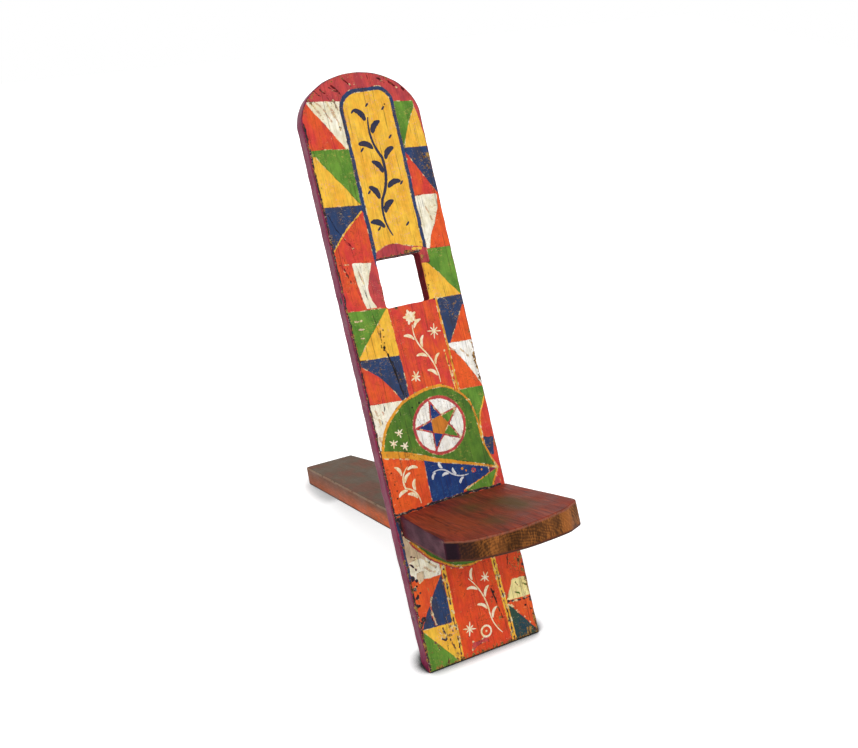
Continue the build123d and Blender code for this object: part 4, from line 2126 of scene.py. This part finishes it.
# ---- Studio ----
@dataclass(frozen=True)
class Studio:
    """The camera, the lamps and the floor. Angles are in degrees and lengths in metres."""

    azimuth: float = -28.633
    elevation: float = 27.105
    distance: float = 2.01477
    aim: Trio = (-0.14954, -0.349195, 0.71871)
    sensor_width: float = 36.0  # millimetres
    focal_pixels: float = 1100.0
    image_width: float = 858.0
    sky: float = 0.56
    floor_size: float = 12.0
    floor_pale: tuple[float, ...] = (0.86, 0.86, 0.86, 1)
    floor_dark: tuple[float, ...] = (0.04, 0.04, 0.04, 1)  # painted contact shadow, where the chair touches it
    contact_reach: float = 0.04
    contact_range: Pair = (0.64, 0.97)  # openness, from dark to pale
    rear_reach: Pair = (-0.1, 0.3)  # the contact's dark fades out
    rear_light: float = 0.62  # to this, behind the board
    glow_reach: Pair = (0.5, 2.2)  # distance from the origin
    glow: Pair = (0.62, 0.9)
    lamps: tuple[tuple, ...] = (  # name, place, size and watts
        ("key", (-1.6, -2.6, 2.9), 1.8, 55.5),
        ("fill", (2.4, -1.6, 1.8), 2.0, 15.0),
        ("rear", (0.8, 2.6, 2.4), 2.0, 25.0),
    )
    lamp_aim: Trio = (0.0, 0.0, 0.45)

    def camera(self) -> bpy.types.Object:
        """Adds the camera and makes it the scene's own.

        Returns:
            The camera.
        """
        data = bpy.data.cameras.new("camera")
        data.sensor_fit = "HORIZONTAL"
        data.sensor_width = self.sensor_width
        data.lens = self.focal_pixels * self.sensor_width / self.image_width
        camera = added("camera", data)
        azimuth, elevation = math.radians(self.azimuth), math.radians(self.elevation)
        back = Vector((
            math.sin(azimuth) * math.cos(elevation),
            -math.cos(azimuth) * math.cos(elevation),
            math.sin(elevation),
        ))
        camera.location = Vector(self.aim) + back * self.distance
        camera.rotation_euler = (-back).to_track_quat("-Z", "Y").to_euler()
        bpy.context.scene.camera = camera
        return camera

    def lamp(self, name: str, place: Sequence[float], size: float, power: float) -> None:
        """Adds a square soft lamp that faces the chair.

        Args:
            name: its name.
            place: where it hangs.
            size: the length of its sides.
            power: its watts.
        """
        data = bpy.data.lights.new(name, "AREA")
        data.size = size
        data.energy = power
        lamp = added(name, data)
        lamp.location = place
        towards = Vector(self.lamp_aim) - Vector(place)
        lamp.rotation_euler = towards.to_track_quat("-Z", "Y").to_euler()

    @staticmethod
    def seen(w: Wiring) -> Socket:
        """Reads what the camera sees, by itself, in a gloss or through something clear.

        Args:
            w: the tree to read it in.

        Returns:
            1 for what it sees, and 0 for all else.
        """
        rays = w.add("ShaderNodeLightPath").outputs
        gloss = w.math("MAXIMUM", rays["Is Camera Ray"], rays["Is Glossy Ray"])
        return w.math("MAXIMUM", gloss, rays["Is Transmission Ray"])

    def world(self) -> None:
        """A plain sky that lights softly and shows white."""
        world = bpy.data.worlds.new("studio")
        world.use_nodes = True
        bpy.context.scene.world = world
        w = Wiring(world.node_tree)
        lit = w.tree.nodes["Background"]
        w.plug(lit.inputs["Color"], (1, 1, 1, 1))
        w.plug(lit.inputs["Strength"], self.sky)
        white = w.fed("ShaderNodeBackground", {"Color": (1, 1, 1, 1), "Strength": 1.0})
        pick = w.fed("ShaderNodeMixShader", {
            "Fac": self.seen(w), 1: lit.outputs[0], 2: white.outputs[0],
        })
        w.plug(w.tree.nodes["World Output"].inputs["Surface"], pick.outputs[0])

    def floor(self) -> None:
        """A pale floor that shows white, apart from the chair's shadow."""
        half = self.floor_size / 2
        mesh = bpy.data.meshes.new("floor")
        mesh.from_pydata(
            [(-half, -half, 0), (half, -half, 0), (half, half, 0), (-half, half, 0)],
            [], [(0, 1, 2, 3)],
        )
        floor = added("floor", mesh)
        mesh.materials.append(self.pale_floor())

    def pale_floor(self) -> bpy.types.Material:
        """Makes the floor's finish: matt, with a painted contact shadow where the chair touches it, and
        lit from within.

        Returns:
            The material.
        """
        material = bpy.data.materials.new("pale_floor")
        material.use_nodes = True
        w = Wiring(material.node_tree)
        place = w.add("ShaderNodeTexCoord").outputs["Object"]
        along = w.fed("ShaderNodeSeparateXYZ", {0: place}).outputs["Y"]
        rearward = w.ramp(along, *self.rear_reach, 0.0, self.rear_light, "LINEAR")
        # painted contact shadow: ambient occlusion darkens the floor's colour and glow near the chair
        near = w.fed("ShaderNodeAmbientOcclusion", {"Distance": self.contact_reach})
        contact = w.ramp(near.outputs["AO"], *self.contact_range, rearward, 1.0, "LINEAR")
        away = w.fed("ShaderNodeVectorMath", {0: place}, operation="LENGTH").outputs["Value"]
        grow = w.ramp(away, *self.glow_reach, *self.glow, "LINEAR")

        matt = w.tree.nodes["Principled BSDF"]
        w.plug(matt.inputs["Roughness"], 0.9)
        w.plug(matt.inputs["Specular IOR Level"], 0.1)
        w.plug(matt.inputs["Base Color"], w.mix(contact, self.floor_dark, self.floor_pale))
        strength = w.times(w.times(contact, self.seen(w)), grow)
        glow = w.fed("ShaderNodeEmission", {"Strength": strength})
        both = w.fed("ShaderNodeAddShader", {0: matt.outputs[0], 1: glow.outputs[0]})
        w.plug(w.tree.nodes["Material Output"].inputs["Surface"], both.outputs[0])
        return material

    def build(self) -> None:
        """Sets up the whole studio."""
        self.camera()
        self.world()
        self.floor()
        for name, place, size, power in self.lamps:
            self.lamp(name, place, size, power)
        bpy.context.scene.view_settings.view_transform = "Standard"


def main() -> None:
    """Builds the chair and its studio round the frame."""
    logging.basicConfig(level=logging.INFO, format="%(name)s: %(message)s")
    Studio().build()
    board, plank = Backboard(), SeatPlank()
    board.build(plank.placement)
    plank.build()
    for brushwork in ornaments():
        brushwork.build(board)
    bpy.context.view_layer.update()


if __name__ == "__main__":
    main()
